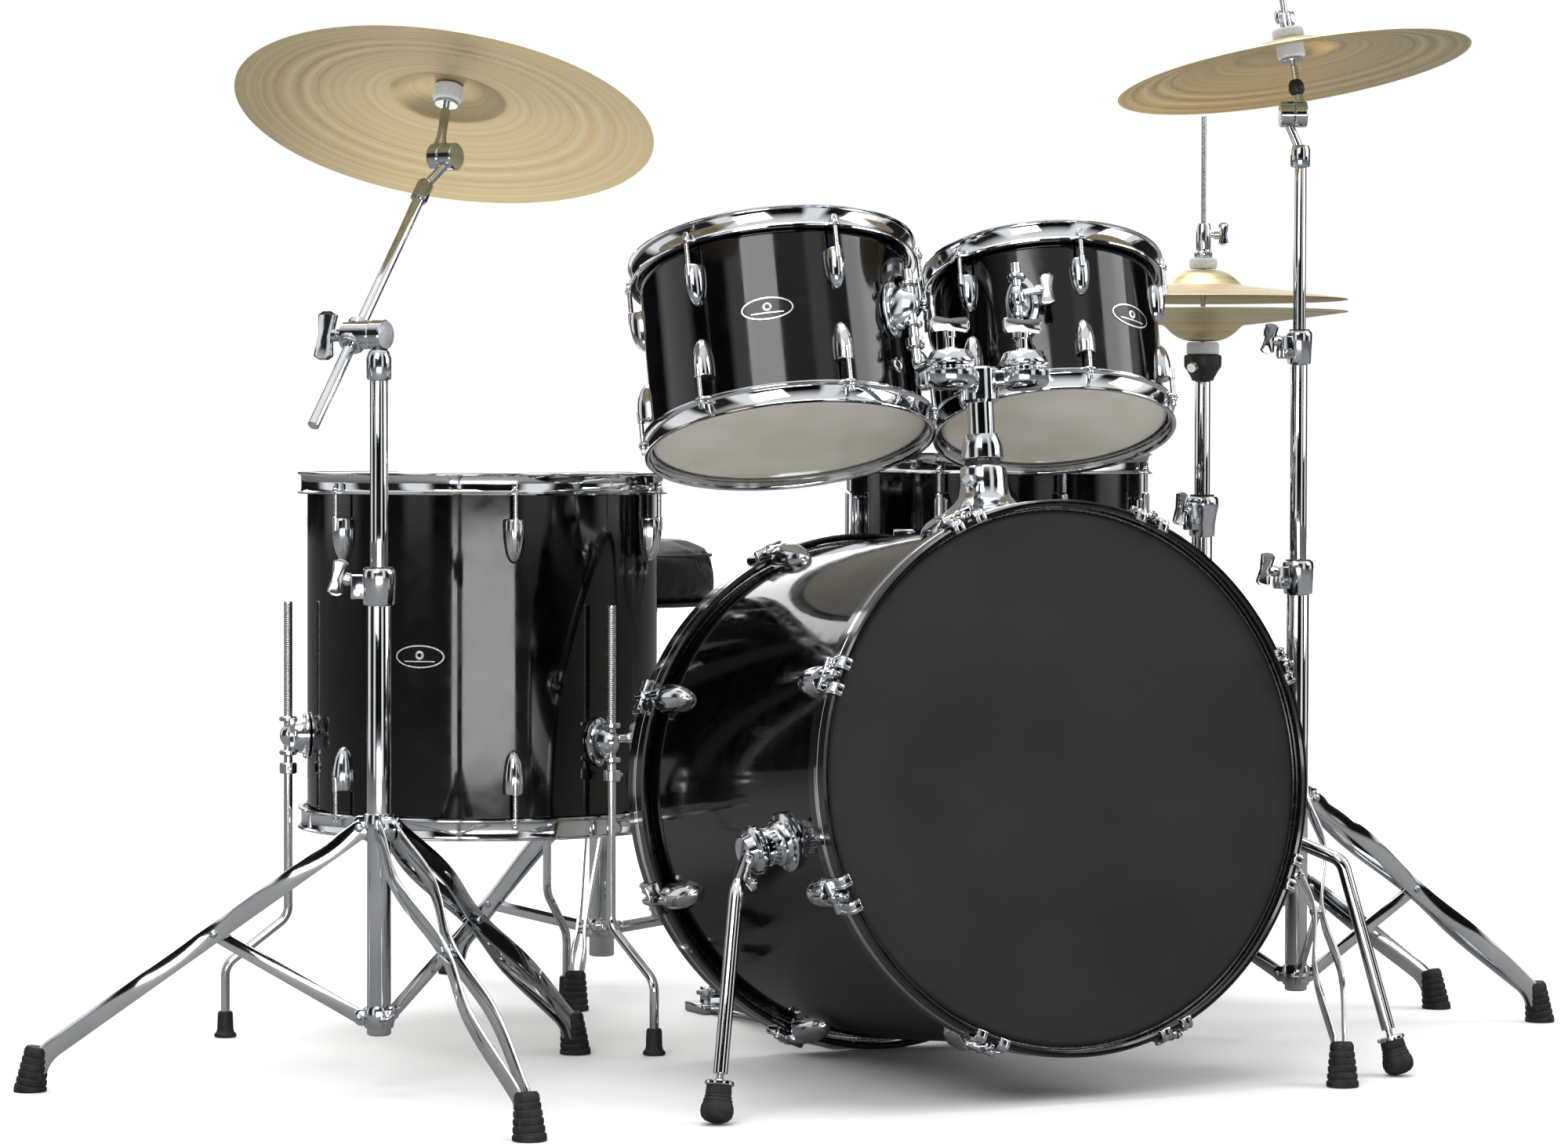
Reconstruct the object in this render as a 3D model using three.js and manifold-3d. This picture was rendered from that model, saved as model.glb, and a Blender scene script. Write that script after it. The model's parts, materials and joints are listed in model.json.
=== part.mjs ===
import * as THREE from 'three';
import { mergeVertices } from 'three/addons/utils/BufferGeometryUtils.js';
import Module from 'manifold-3d';

const wasm = await Module();
wasm.setup();

// Five-piece drum kit with three stands, hi-hat, throne and kick pedal.
// Millimetres, Z up. The audience stands on the -Y side and the drummer sits at +Y.

// clearances
const fit = 0.4;        // between two pieces that touch in life
const slideFit = 1.0;   // round a tube that slides inside another
const spinFit = 0.5;    // beside a piece that turns

// drums: shell radius and length, hoop reach past the bearing edge
const bassRadius = 279.4;
const bassLength = 457;
const bassTilt = THREE.MathUtils.degToRad(5.67);
const bassHoopReach = 12;
const bassHoopDepth = 38;
const bassHoopThickness = 8.2;
const largeTomRadius = 152.4;
const largeTomLength = 205;
const smallTomRadius = 127;
const smallTomLength = 180;
const floorTomRadius = 203.2;
const floorTomLength = 389;
const snareRadius = 177.8;
const snareLength = 128;
const shellWall = 7;
const metalHoopReach = 12;
const metalHoopDepth = 25;
const metalHoopThickness = 2.4;

// places on the floor
const largeTomPlace = new THREE.Vector3(-98, 248, 789);
const smallTomPlace = new THREE.Vector3(203, 168, 792);
const floorTomPlace = new THREE.Vector3(-334, 552, 444.5);
const snareClearance = 112.2;  // from the small tom's axis to the near side of the snare shell
const snarePlace = new THREE.Vector3(297, smallTomPlace.y + snareClearance + snareRadius, 599);
const boomStandPlace = new THREE.Vector3(-635, 116, 0);
const straightStandPlace = new THREE.Vector3(465.5, 49.6, 0);
const hihatPlace = new THREE.Vector3(584, 448, 0);
const thronePlace = new THREE.Vector3(-34, 878, 0);

// cymbals
const rideRadius = 228.6;
const crashRadius = 203.2;
const hihatRadius = 178;
const cymbalThickness = 1.6;
const cymbalHole = 6.5;

// stand tubes
const lowerTube = 12.7;
const middleTube = 9.5;
const upperTube = 7.2;
const boomTube = 6.3;
const tilterRod = 3.5;
const tilterHalf = 7;        // half the width of a tilter's round knuckle
const legBarHeight = 20;
const legBarThickness = 3.2;
const rubberFootRadius = 15;
const rubberFootHeight = 44;

// colours of the materials
const paints = {
  blackWrap: [0x08080a, 0.12, 0.0],
  blackHoop: [0x0b0b0c, 0.2, 0.0],
  chrome: [0xd8dadc, 0.12, 1.0],
  blackHead: [0x17181a, 0.65, 0.0],
  clearHead: [0xe4dfd2, 0.35, 0.0],
  whiteHead: [0xeeece6, 0.6, 0.0],
  bronze: [0xd9c79a, 0.25, 1.0],
  vinyl: [0x141415, 0.5, 0.0],
};
const slots = {};
for (const [name, [color, roughness, metalness]] of Object.entries(paints)) {
  slots[name] = new THREE.MeshStandardMaterial({ color, roughness, metalness });
  slots[name].name = name;
}

const v = (x, y, z) => new THREE.Vector3(x, y, z);
const rad = THREE.MathUtils.degToRad;
const polar = (radius, degrees, z = 0) => v(radius * Math.cos(rad(degrees)), radius * Math.sin(rad(degrees)), z);
const kit = new THREE.Group();
kit.name = 'drum_kit';

// a closed solid from any three.js geometry
function solid(geometry) {
  const bare = geometry.clone();
  bare.deleteAttribute('normal');
  bare.deleteAttribute('uv');
  const welded = mergeVertices(bare, 1e-3);
  const place = welded.attributes.position;
  const index = welded.index.array;
  const faces = [];
  let volume = 0;
  const [a, b, c] = [v(0, 0, 0), v(0, 0, 0), v(0, 0, 0)];
  for (let i = 0; i < index.length; i += 3) {
    const [p, q, r] = [index[i], index[i + 1], index[i + 2]];
    if (p === q || q === r || r === p) continue;
    faces.push(p, q, r);
    a.fromBufferAttribute(place, p);
    b.fromBufferAttribute(place, q);
    c.fromBufferAttribute(place, r);
    volume += a.dot(b.cross(c));
  }
  if (volume < 0) faces.reverse();
  const mesh = new wasm.Mesh({
    numProp: 3,
    vertProperties: new Float32Array(place.array),
    triVerts: new Uint32Array(faces),
  });
  return new wasm.Manifold(mesh);
}

function join(parts) {
  return parts.map((part) => (part.isBufferGeometry ? solid(part) : part)).reduce((sum, part) => sum.add(part));
}

function cut(body, holes) {
  return holes.map((hole) => (hole.isBufferGeometry ? solid(hole) : hole)).reduce((rest, hole) => rest.subtract(hole), body);
}

// hangs the finished piece in its group
function piece(name, parts, material, group = kit) {
  const body = Array.isArray(parts) ? join(parts) : parts;
  const found = body.getMesh();
  const geometry = new THREE.BufferGeometry();
  geometry.setAttribute('position', new THREE.BufferAttribute(new Float32Array(found.vertProperties), 3));
  geometry.setIndex(new THREE.BufferAttribute(new Uint32Array(found.triVerts), 1));
  geometry.computeVertexNormals();
  const mesh = new THREE.Mesh(geometry, slots[material]);
  mesh.name = name;
  group.add(mesh);
  return mesh;
}

// turned shape from radius and height pairs that close on themselves or on the axis
function turned(profile, sides) {
  const points = profile.map(([radius, height]) => new THREE.Vector2(radius, height));
  if (profile[0][0] > 0) points.push(points[0].clone());
  return new THREE.LatheGeometry(points, sides).rotateX(Math.PI / 2);
}

// turn that brings the middle of a facet to the given direction
const facetTurn = (degrees, sides) => rad(degrees) + Math.PI / 2 - Math.PI / sides;

// round bar between two points, its sides starting from the same corner whatever its length
function bar(from, to, radius, sides = 8, endRadius = radius) {
  const along = to.clone().sub(from);
  const shape = new THREE.CylinderGeometry(endRadius, radius, along.length(), sides).rotateX(Math.PI / 2);
  shape.applyQuaternion(new THREE.Quaternion().setFromUnitVectors(v(0, 0, 1), along.clone().normalize()));
  const middle = from.clone().add(to).multiplyScalar(0.5);
  return shape.translate(middle.x, middle.y, middle.z);
}

// upright round bar on the Z axis of its group; a facet faces the given direction when one is named
function post(radius, bottom, top, sides = 12, facing = null) {
  const shape = bar(v(0, 0, bottom), v(0, 0, top), radius, sides);
  return facing === null ? shape : shape.rotateZ(facetTurn(facing, sides));
}

// flat bar between two points; width lies level and height stands across it
function strip(from, to, width, height) {
  const along = to.clone().sub(from);
  const length = along.length();
  along.normalize();
  const level = v(-along.y, along.x, 0);
  if (level.length() < 1e-6) level.set(0, 1, 0);
  level.normalize();
  const across = along.clone().cross(level);
  const shape = new THREE.BoxGeometry(length, width, height);
  shape.applyMatrix4(new THREE.Matrix4().makeBasis(along, level, across));
  const middle = from.clone().add(to).multiplyScalar(0.5);
  return shape.translate(middle.x, middle.y, middle.z);
}

// block standing on a circle round the Z axis, length along Z
function block(radius, degrees, z, [deep, wide, tall]) {
  const shape = new THREE.BoxGeometry(deep, wide, tall).translate(radius, 0, z);
  return shape.rotateZ(rad(degrees));
}

// ---------------------------------------------------------------- drums

// lug casings, hoops, heads and rods of one drum, all in the drum's own frame with its axis along Z
function drum(name, size) {
  const group = new THREE.Group();
  group.name = name;
  const { radius, length, lugCount, firstLug, lug, hoop } = size;
  const sides = size.sides ?? 24;
  const edge = length / 2;
  const casingTop = edge - lug.start;
  const casings = [];
  for (const end of [1, -1]) {
    for (let k = 0; k < lugCount; k += 1) {
      const angle = firstLug + (k * 360) / lugCount;
      const middle = end * (casingTop - lug.length / 2);
      if (!lug.single || end > 0) {
        const z = lug.single ? 0 : middle;
        const tall = lug.single ? 2 * casingTop : lug.length;
        casings.push(block(radius + (lug.deep - lug.sink) / 2, angle, z, [lug.deep + lug.sink, lug.wide, tall]));
      }
    }
  }
  const bore = post(radius - shellWall, -edge - 1, edge + 1, sides, firstLug);
  const tube = cut(solid(post(radius, -edge, edge, sides, firstLug)), [bore]);
  const shell = cut(join([tube, ...casings, ...(size.extras ?? [])]), [bore, ...(size.holes ?? [])]);
  piece(`${name}_shell`, shell, 'blackWrap', group);
  const flesh = 4;          // width of the ring that holds the skin
  const fleshDrop = 9;
  const skin = 1;
  for (const end of [1, -1]) {
    const side = end > 0 ? size.topName ?? 'batter' : size.bottomName ?? 'reso';
    const flip = (profile) => profile.map(([r, z]) => [r, z * end]);
    const inner = radius + spinFit;
    const head = turned(flip([
      [0, edge + fit],
      [inner, edge + fit],
      [inner, edge - fleshDrop],
      [inner + flesh, edge - fleshDrop],
      [inner + flesh, edge + fit + skin],
      [0, edge + fit + skin],
    ]), sides).rotateZ(facetTurn(firstLug, sides));
    piece(`${name}_${side}_head`, [head], end > 0 ? size.topHead : size.bottomHead, group);
    const hoopInner = inner + flesh + fit;
    const hoopOuter = hoopInner + hoop.thickness;
    const lip = edge + 2 * fit + skin;
    const top = edge + hoop.reach;
    const bottom = top - hoop.depth;
    const ring = turned(flip([
      [hoopInner, bottom],
      [hoopOuter, bottom],
      [hoopOuter, top],
      [radius + 2.5, top],
      [radius + 2.5, lip],
      [hoopInner, lip],
    ]), sides).rotateZ(facetTurn(firstLug, sides));
    const parts = [ring];
    for (let k = 0; k < lugCount; k += 1) {
      const angle = firstLug + (k * 360) / lugCount;
      const rodRadius = radius + lug.deep - lug.rod - 1.5;
      const claw = hoop.claw;
      if (claw) {
        const reach = rodRadius + lug.rod - radius;
        parts.push(block(radius + reach / 2 + 4, angle, end * (top + 0.5), [reach, claw.wide, 3]));
        const back = hoopOuter - 1;
        const deep = rodRadius + lug.rod + 3 - back;
        parts.push(block(back + deep / 2, angle, end * (top + 2 - claw.tall / 2), [deep, claw.wide, claw.tall]));
        const foot = top + 2 - claw.tall;
        parts.push(bar(polar(rodRadius, angle, end * (foot + 2)), polar(rodRadius, angle, end * (casingTop + fit)), lug.rod, 4));
      } else {
        const back = hoopInner + 0.5;
        const deep = rodRadius + 4.5 - back;
        parts.push(block(back + deep / 2, angle, end * (bottom + 2), [deep, 14, 4]));
        const head = polar(rodRadius, angle, end * (bottom + 2));
        parts.push(bar(head, polar(rodRadius, angle, end * (casingTop + fit)), lug.rod, 4));
      }
    }
    piece(`${name}_${side}_hoop`, parts, hoop.material, group);
  }
  kit.add(group);
  return group;
}

const metalHoop = {
  thickness: metalHoopThickness,
  depth: metalHoopDepth,
  reach: metalHoopReach,
  material: 'chrome',
};
const tomLug = { start: 38, length: 46, wide: 22, deep: 17, sink: 3, rod: 2.8 };

// bass drum, lying on its side with its front raised on two spurs; its own Z axis points at the audience
const bassOverall = bassLength + 2 * bassHoopReach;
const bassSides = 32;
const bassHoopRadius = (bassRadius + spinFit + 4 + fit + bassHoopThickness) * Math.cos(Math.PI / bassSides);
const bassAxisHeight = bassHoopRadius * Math.cos(bassTilt) + (bassOverall / 2) * Math.sin(bassTilt);
const spurAngle = 11.25;     // below level on each side
const spurStation = 116;     // from the middle towards the front
const mountStation = 79;
const mountPostRadius = 15;
const mountPostInside = 80;   // part of the post that reaches down inside the bass drum
const spurArm = 44;          // hinge centre off the shell
const padRadius = 24;
const spurHinge = (side) => {
  const degrees = side > 0 ? -spurAngle : 180 + spurAngle;
  return { out: polar(1, degrees), degrees };
};
const bassExtras = [];
for (const side of [1, -1]) {
  const { out } = spurHinge(side);
  const on = (reach) => out.clone().multiplyScalar(bassRadius + reach).setZ(spurStation);
  bassExtras.push(bar(on(-3), on(14), padRadius + 3, 12));
  bassExtras.push(bar(on(10), on(spurArm - 12 - fit), padRadius - 6, 12));
}
const bass = drum('bass_drum', {
  radius: bassRadius,
  length: bassLength,
  sides: bassSides,
  lugCount: 8,
  firstLug: 22.5,
  lug: { start: 32, length: 58, wide: 26, deep: 22, sink: 3, rod: 3.4 },
  hoop: {
    thickness: bassHoopThickness,
    depth: bassHoopDepth,
    reach: bassHoopReach,
    material: 'blackHoop',
    claw: { wide: 24, tall: 22 },
  },
  topName: 'front',
  bottomName: 'batter',
  topHead: 'blackHead',
  bottomHead: 'clearHead',
  extras: bassExtras,
  holes: [bar(v(0, bassRadius - 30, mountStation), v(0, bassRadius + 30, mountStation), mountPostRadius + slideFit, 16)],
});
bass.position.set(0, 0, bassAxisHeight);
bass.rotation.x = Math.PI / 2 - bassTilt;
bass.updateMatrixWorld(true);

// spur legs: a round ratchet on the bracket's axis, a cranked rod and a rubber tip on the floor
const spurTipOut = 413;
const spurTipFront = -240;
const spurKneeOut = 367;
const spurKneeFront = -192;
const spurKneeHeight = 232;
for (const side of [1, -1]) {
  const { out } = spurHinge(side);
  const onShell = (reach) => bass.localToWorld(out.clone().multiplyScalar(bassRadius + reach).setZ(spurStation));
  const inner = onShell(spurArm - 12);
  const outer = onShell(spurArm + 10);
  const start = onShell(spurArm);
  const tip = v(side * spurTipOut, spurTipFront, 0);
  const crank = v(side * spurKneeOut, spurKneeFront, spurKneeHeight);
  const toTip = tip.clone().sub(crank).normalize();
  const ankle = tip.clone().sub(toTip.clone().multiplyScalar(58)).add(v(0, 0, 2));
  const floorPad = v(tip.x, tip.y, 0);
  piece(side > 0 ? 'spur_leg_right' : 'spur_leg_left', [
    bar(inner, outer, padRadius - 6, 12),
    bar(start, crank, 8, 8),
    bar(crank.clone().sub(toTip.clone().multiplyScalar(6)), ankle, 7, 8),
    bar(ankle, floorPad.clone().add(v(0, 0, 10)), 12, 8, 16),
    bar(floorPad, floorPad.clone().add(v(0, 0, 16)), 17, 8),
  ], 'chrome');
}

// tom mount: cast base on the shell, post and the double holder above it
const mount = new THREE.Group();
mount.name = 'tom_mount';
mount.position.copy(bass.localToWorld(v(0, bassRadius, mountStation)));
mount.rotation.x = -bassTilt;
const mountBaseHeight = 62;
const holderHeight = 146;    // underside of the double holder above the shell
const discSpread = 45;
const discForward = -20;
const discRadius = 27;
const holderThickness = 22;
const baseHeightRing = 46;
const baseSolid = join([
  turned([[0, 2], [62, 2], [62, 7], [40, 14], [26, 28], [23, mountBaseHeight], [0, mountBaseHeight]], 16),
  bar(v(-20, -6, baseHeightRing), v(-42, -14, baseHeightRing), 7, 6),
]);
const shellUnder = bar(v(0, -200, -bassRadius - fit), v(0, 200, -bassRadius - fit), bassRadius + 2 * fit, 40);
piece('tom_mount_base', cut(baseSolid, [post(mountPostRadius + slideFit, -10, 200, 16), shellUnder]), 'chrome', mount);
const holder = [
  post(mountPostRadius, -mountPostInside, holderHeight + 6, 16),
  post(mountPostRadius + 6, holderHeight - 14, holderHeight + holderThickness, 16),
];
for (const side of [1, -1]) {
  const disc = v(side * discSpread, discForward, 0);
  holder.push(bar(disc.clone().setZ(holderHeight), disc.clone().setZ(holderHeight + holderThickness), discRadius, 16));
  const centre = v(0, 0, holderHeight + holderThickness / 2);
  holder.push(strip(centre, disc.clone().setZ(holderHeight + holderThickness / 2), 24, holderThickness));
}
piece('tom_holder', holder, 'chrome', mount);
kit.add(mount);
mount.updateMatrixWorld(true);

// toms on their arms; each tom leans towards the drummer
const armRod = 5.5;
const bracketReach = 26;     // arm rod off the shell
const armRise = holderHeight + holderThickness + 12;
function tom(name, size) {
  const clampHoles = [];
  const rodPlace = polar(size.radius + bracketReach, size.bracket);
  clampHoles.push(bar(rodPlace.clone().setZ(-200), rodPlace.clone().setZ(200), armRod + slideFit - 0.2, 12));
  const near = polar(size.radius - 3, size.bracket, 6);
  const extras = [
    strip(near, polar(size.radius + bracketReach + 11, size.bracket, 6), 24, 48),
    block(size.radius + 2, size.bracket, 6, [10, 36, 66]),
  ];
  const wing = polar(size.radius + bracketReach, size.bracket, 10);
  const aside = polar(1, size.bracket + size.wingTurn);
  extras.push(bar(wing.clone().addScaledVector(aside, 9), wing.clone().addScaledVector(aside, 30), 4.5, 6));
  extras.push(strip(wing.clone().addScaledVector(aside, 27).add(v(0, 0, 15)), wing.clone().addScaledVector(aside, 27).add(v(0, 0, -15)), 9, 6));
  const group = drum(name, { ...size, extras, holes: clampHoles });
  group.position.copy(size.place);
  group.quaternion.setFromUnitVectors(v(0, 0, 1), size.normal.clone().normalize());
  group.updateMatrixWorld(true);
  const top = group.localToWorld(rodPlace.clone().setZ(46));
  const disc = mount.localToWorld(v(size.side * discSpread, discForward, armRise));
  // the knee sits on the rod's line at the height of the arm
  const low = group.localToWorld(rodPlace.clone().setZ(-40));
  const slope = low.clone().sub(top);
  const knee = top.clone().addScaledVector(slope, (disc.z - top.z) / slope.z);
  const cap = mount.localToWorld(v(size.side * discSpread, discForward, holderHeight + holderThickness + fit));
  const capTop = mount.localToWorld(v(size.side * discSpread, discForward, armRise + 12));
  const stem = mount.localToWorld(v(size.side * discSpread, discForward, armRise + 34));
  const wingHalf = mount.localToWorld(v(size.side * discSpread + 26, discForward, armRise + 32));
  const wingOther = mount.localToWorld(v(size.side * discSpread - 26, discForward, armRise + 32));
  piece(`${name}_arm`, [
    bar(cap, capTop, discRadius, 16, discRadius - 7),
    bar(capTop.clone().lerp(cap, 0.3), stem, 5, 8),
    strip(wingHalf, wingOther, 7, 17),
    bar(disc, knee, armRod, 8),
    bar(knee.clone().addScaledVector(slope.clone().normalize(), 3), top, armRod, 12),
  ], 'chrome');
  return group;
}

const largeTom = tom('large_tom', {
  radius: largeTomRadius,
  length: largeTomLength,
  lugCount: 6,
  firstLug: 28.5,
  lug: tomLug,
  hoop: metalHoop,
  topHead: 'whiteHead',
  bottomHead: 'clearHead',
  bracket: 298.5,
  wingTurn: 90,
  side: -1,
  place: largeTomPlace,
  normal: v(Math.tan(rad(2.7)), Math.tan(rad(17.8)), 1),
});
const smallTom = tom('small_tom', {
  radius: smallTomRadius,
  length: smallTomLength,
  lugCount: 6,
  firstLug: 18,
  lug: { ...tomLug, start: 34, length: 42 },
  hoop: metalHoop,
  topHead: 'whiteHead',
  bottomHead: 'clearHead',
  bracket: 228,
  wingTurn: 90,
  side: 1,
  place: smallTomPlace,
  normal: v(Math.tan(rad(6.8)), Math.tan(rad(20)), 1),
});

// floor tom on three cranked legs held in brackets between the lugs
const floorLegAngle = 47;
const floorLegReach = 24;
const floorBracketHeight = -98;
const floorLegRod = 5.2;
const floorLegSpread = 300;
const floorExtras = [];
const floorHoles = [];
for (let k = 0; k < 3; k += 1) {
  const degrees = floorLegAngle + 120 * k;
  const reach = floorTomRadius + floorLegReach;
  floorExtras.push(strip(polar(floorTomRadius - 3, degrees, floorBracketHeight), polar(reach + 11, degrees, floorBracketHeight), 24, 38));
  floorExtras.push(block(floorTomRadius + 2, degrees, floorBracketHeight, [10, 36, 50]));
  const wing = polar(reach, degrees, floorBracketHeight);
  const aside = polar(1, degrees + 90);
  floorExtras.push(bar(wing.clone().addScaledVector(aside, 9), wing.clone().addScaledVector(aside, 30), 4.5, 6));
  floorExtras.push(strip(
    wing.clone().addScaledVector(aside, 27).add(v(0, 0, 14)),
    wing.clone().addScaledVector(aside, 27).add(v(0, 0, -14)),
    9,
    6,
  ));
  floorHoles.push(bar(polar(reach, degrees, -300), polar(reach, degrees, 300), floorLegRod + slideFit - 0.2, 12));
}
const floorTom = drum('floor_tom', {
  radius: floorTomRadius,
  length: floorTomLength,
  lugCount: 6,
  firstLug: 17,
  lug: { ...tomLug, start: 40, length: 50, wide: 24 },
  hoop: metalHoop,
  topHead: 'whiteHead',
  bottomHead: 'clearHead',
  extras: floorExtras,
  holes: floorHoles,
});
floorTom.position.copy(floorTomPlace);
const floorLegTop = 500;
const floorKnee = 138;
const floorAnkle = 82;
for (let k = 0; k < 3; k += 1) {
  const degrees = floorLegAngle + 120 * k;
  const at = (radius, z) => polar(radius, degrees, z).add(floorTomPlace.clone().setZ(0));
  const reach = floorTomRadius + floorLegReach;
  piece(`floor_tom_leg_${k + 1}`, [
    bar(at(reach, floorLegTop), at(reach, floorKnee), floorLegRod, 12),
    bar(at(reach, floorKnee + 3), at(floorLegSpread - 6, floorAnkle), floorLegRod, 8),
    bar(at(floorLegSpread - 7, floorAnkle + 3), at(floorLegSpread, 20), floorLegRod, 8),
    bar(at(floorLegSpread, 28), at(floorLegSpread, 0), 8.5, 8, 12.5),
  ], 'chrome');
}

// snare drum with its throw-off
const strainerAngle = 25.7;
const strainerBody = block(snareRadius + 8, strainerAngle, 4, [22, 30, 62]);
const strainerLeverAt = snareRadius + 19 + fit;
const snare = drum('snare', {
  radius: snareRadius,
  length: snareLength,
  lugCount: 8,
  firstLug: 40.7,
  lug: { ...tomLug, start: 36, single: true, wide: 20, deep: 17 },
  hoop: metalHoop,
  topHead: 'whiteHead',
  bottomHead: 'clearHead',
  extras: [strainerBody],
});
snare.position.copy(snarePlace);
piece('snare_strainer_lever', [
  block(strainerLeverAt + 4, strainerAngle, 22, [8, 18, 40]),
  block(strainerLeverAt + 9, strainerAngle, 44, [16, 14, 8]),
], 'chrome', snare);

// ---------------------------------------------------------------- stands

// one leg seen from above: two flat bars that part, meet at the brace joint, part again and meet at the foot
function legOutline(length, spread) {
  const t = legBarThickness;
  const tight = 4.5;
  const station = [0, 0.2, 0.46, 0.66, 1].map((share) => share * length);
  const half = [9, spread, tight, spread, tight];
  const shape = new THREE.Shape();
  station.forEach((x, i) => (i ? shape.lineTo(x, half[i]) : shape.moveTo(x, half[i])));
  [...station.keys()].reverse().forEach((i) => shape.lineTo(station[i], -half[i]));
  shape.closePath();
  for (const [from, middle, to] of [[24, 1, station[2] - 12], [station[2] + 12, 3, station[4] - 16]]) {
    const hole = new THREE.Path();
    hole.moveTo(from, 0);
    hole.lineTo(station[middle], -(spread - t));
    hole.lineTo(to, 0);
    hole.lineTo(station[middle], spread - t);
    hole.closePath();
    shape.holes.push(hole);
  }
  return shape;
}

// tripod round the Z axis: hub collar, three legs, brace collar, braces and rubber feet
function tripod({ hub, brace, reach, angles, tube, spread = 18, pinchBrace = 0.46, barHeight = legBarHeight }) {
  const start = tube + 2;
  const footJoint = v(reach - 8, 0, 34);
  const top = v(start, 0, hub);
  const length = top.distanceTo(footJoint);
  const slope = Math.atan2(hub - footJoint.z, footJoint.x - start);
  const parts = [
    post(tube + 10, hub - 15, hub + 14, 6, angles[0]),
    post(tube + 8, brace - 11, brace + 11, 6, angles[0]),
  ];
  for (const degrees of angles) {
    const leg = new THREE.ExtrudeGeometry(legOutline(length, spread), { depth: barHeight, bevelEnabled: false });
    leg.translate(0, 0, -barHeight / 2).rotateY(slope).translate(start, 0, hub).rotateZ(rad(degrees));
    parts.push(leg);
    const pinch = v(start + Math.cos(slope) * length * pinchBrace, 0, hub - Math.sin(slope) * length * pinchBrace);
    const link = strip(v(tube, 0, brace), pinch, 8, 15);
    parts.push(link.rotateZ(rad(degrees)));
    const foot = bar(v(reach - 7, 0, rubberFootHeight), v(reach, 0, 0), rubberFootRadius - 3, 6, rubberFootRadius + 2);
    parts.push(foot.rotateZ(rad(degrees)));
  }
  const under = new THREE.BoxGeometry(3000, 3000, 100).translate(0, 0, -50);
  return cut(join(parts), [under]);
}

// clamp at the top of a tube: sleeve, ear and wing bolt
function clampAt(tube, bottom, top, degrees) {
  const wing = (bottom + top) / 2 + 8;
  const radius = tube + 5;
  const stem = polar(radius + 20, degrees, wing);
  return [
    post(radius, bottom, top, 8, degrees),
    bar(polar(radius - 3, degrees, wing), stem, 5, 4),
    strip(stem.clone().addScaledVector(v(0, 0, 1), 19), stem.clone().addScaledVector(v(0, 0, 1), -19), 10, 7),
    strip(polar(radius - 4, degrees, wing - 6), polar(radius + 8, degrees, wing - 6), 16, 26),
  ];
}

function stand(name, place) {
  const group = new THREE.Group();
  group.name = name;
  group.position.copy(place);
  kit.add(group);
  return group;
}

// cymbal from its own rim plane: thin bow with a raised bell and a hole, dropped along its axis by lower
function cymbalShape(radius, rise, bellRadius, bellRise, face = 1) {
  const t = cymbalThickness;
  const under = [
    [cymbalHole, rise + bellRise],
    [bellRadius * 0.55, rise + bellRise * 0.84],
    [bellRadius, rise],
    [radius, 0],
  ];
  const over = [...under].reverse().map(([r, z]) => [r, z + t]);
  return turned([...under, ...over].map(([r, z]) => [r, z * face]), 24);
}

// tilter, felts, wing nut and cymbal above a hinge centre; normal is the cymbal's axis
const cymbalRise = 24;
const feltThickness = 12;
function cymbalOn(group, names, hinge, axis, normal, radius, seat) {
  const n = normal.clone().normalize();
  const bellRise = radius * 0.07;
  const bell = seat;                          // underside of the bell above the hinge
  const along = (d) => hinge.clone().addScaledVector(n, d);
  const half = tilterHalf;
  piece(names.tilter, [
    bar(hinge.clone().addScaledVector(axis, -half), hinge.clone().addScaledVector(axis, half), 15, 12),
    bar(along(0), along(bell - feltThickness - 18), 5, 8),
    bar(along(bell - feltThickness - 22), along(bell + 52), tilterRod, 6),
    bar(along(bell - feltThickness - 7), along(bell - 4 * fit), 16, 10),
    bar(along(bell + cymbalThickness + 2 * fit), along(bell + cymbalThickness + feltThickness), 18, 10),
    bar(along(bell + feltThickness), along(bell + 34), 7, 6),
    strip(along(bell + 26).addScaledVector(axis, -16), along(bell + 26).addScaledVector(axis, 16), 6, 8),
  ], 'chrome', group);
  const cymbalGroup = new THREE.Group();
  cymbalGroup.position.copy(along(bell - cymbalRise - bellRise));
  cymbalGroup.quaternion.setFromUnitVectors(v(0, 0, 1), n);
  group.add(cymbalGroup);
  piece(names.cymbal, [cymbalShape(radius, cymbalRise, radius * 0.27, bellRise)], 'bronze', cymbalGroup);
}

// left stand: tripod, tube, ratchet clamp, boom arm, tilter and ride cymbal
const boomStand = stand('boom_stand', boomStandPlace);
const boomClampTop = 552;
const boomHinge = 797;
const boomLean = v(140, 93.8, 211.6).normalize();
const boomSide = v(-0.556, 0.831, 0).normalize();
boomSide.addScaledVector(boomLean, -boomSide.dot(boomLean)).setZ(0).normalize();
const boomOffset = 30;
const boomUp = 250;
const boomDown = 123;
const boomBase = join([
  tripod({ hub: 281, brace: 80, reach: 369, angles: [152, 272, 32], tube: lowerTube, spread: 20 }),
  post(lowerTube, 62, boomClampTop),
  ...clampAt(lowerTube, boomClampTop - 38, boomClampTop, 150),
]);
piece('boom_stand_base', cut(boomBase, [post(middleTube + slideFit, 100, boomClampTop + 1)]), 'chrome', boomStand);
const hingeAt = v(0, 0, boomHinge);
const sideAt = (d) => hingeAt.clone().addScaledVector(boomSide, d);
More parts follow.
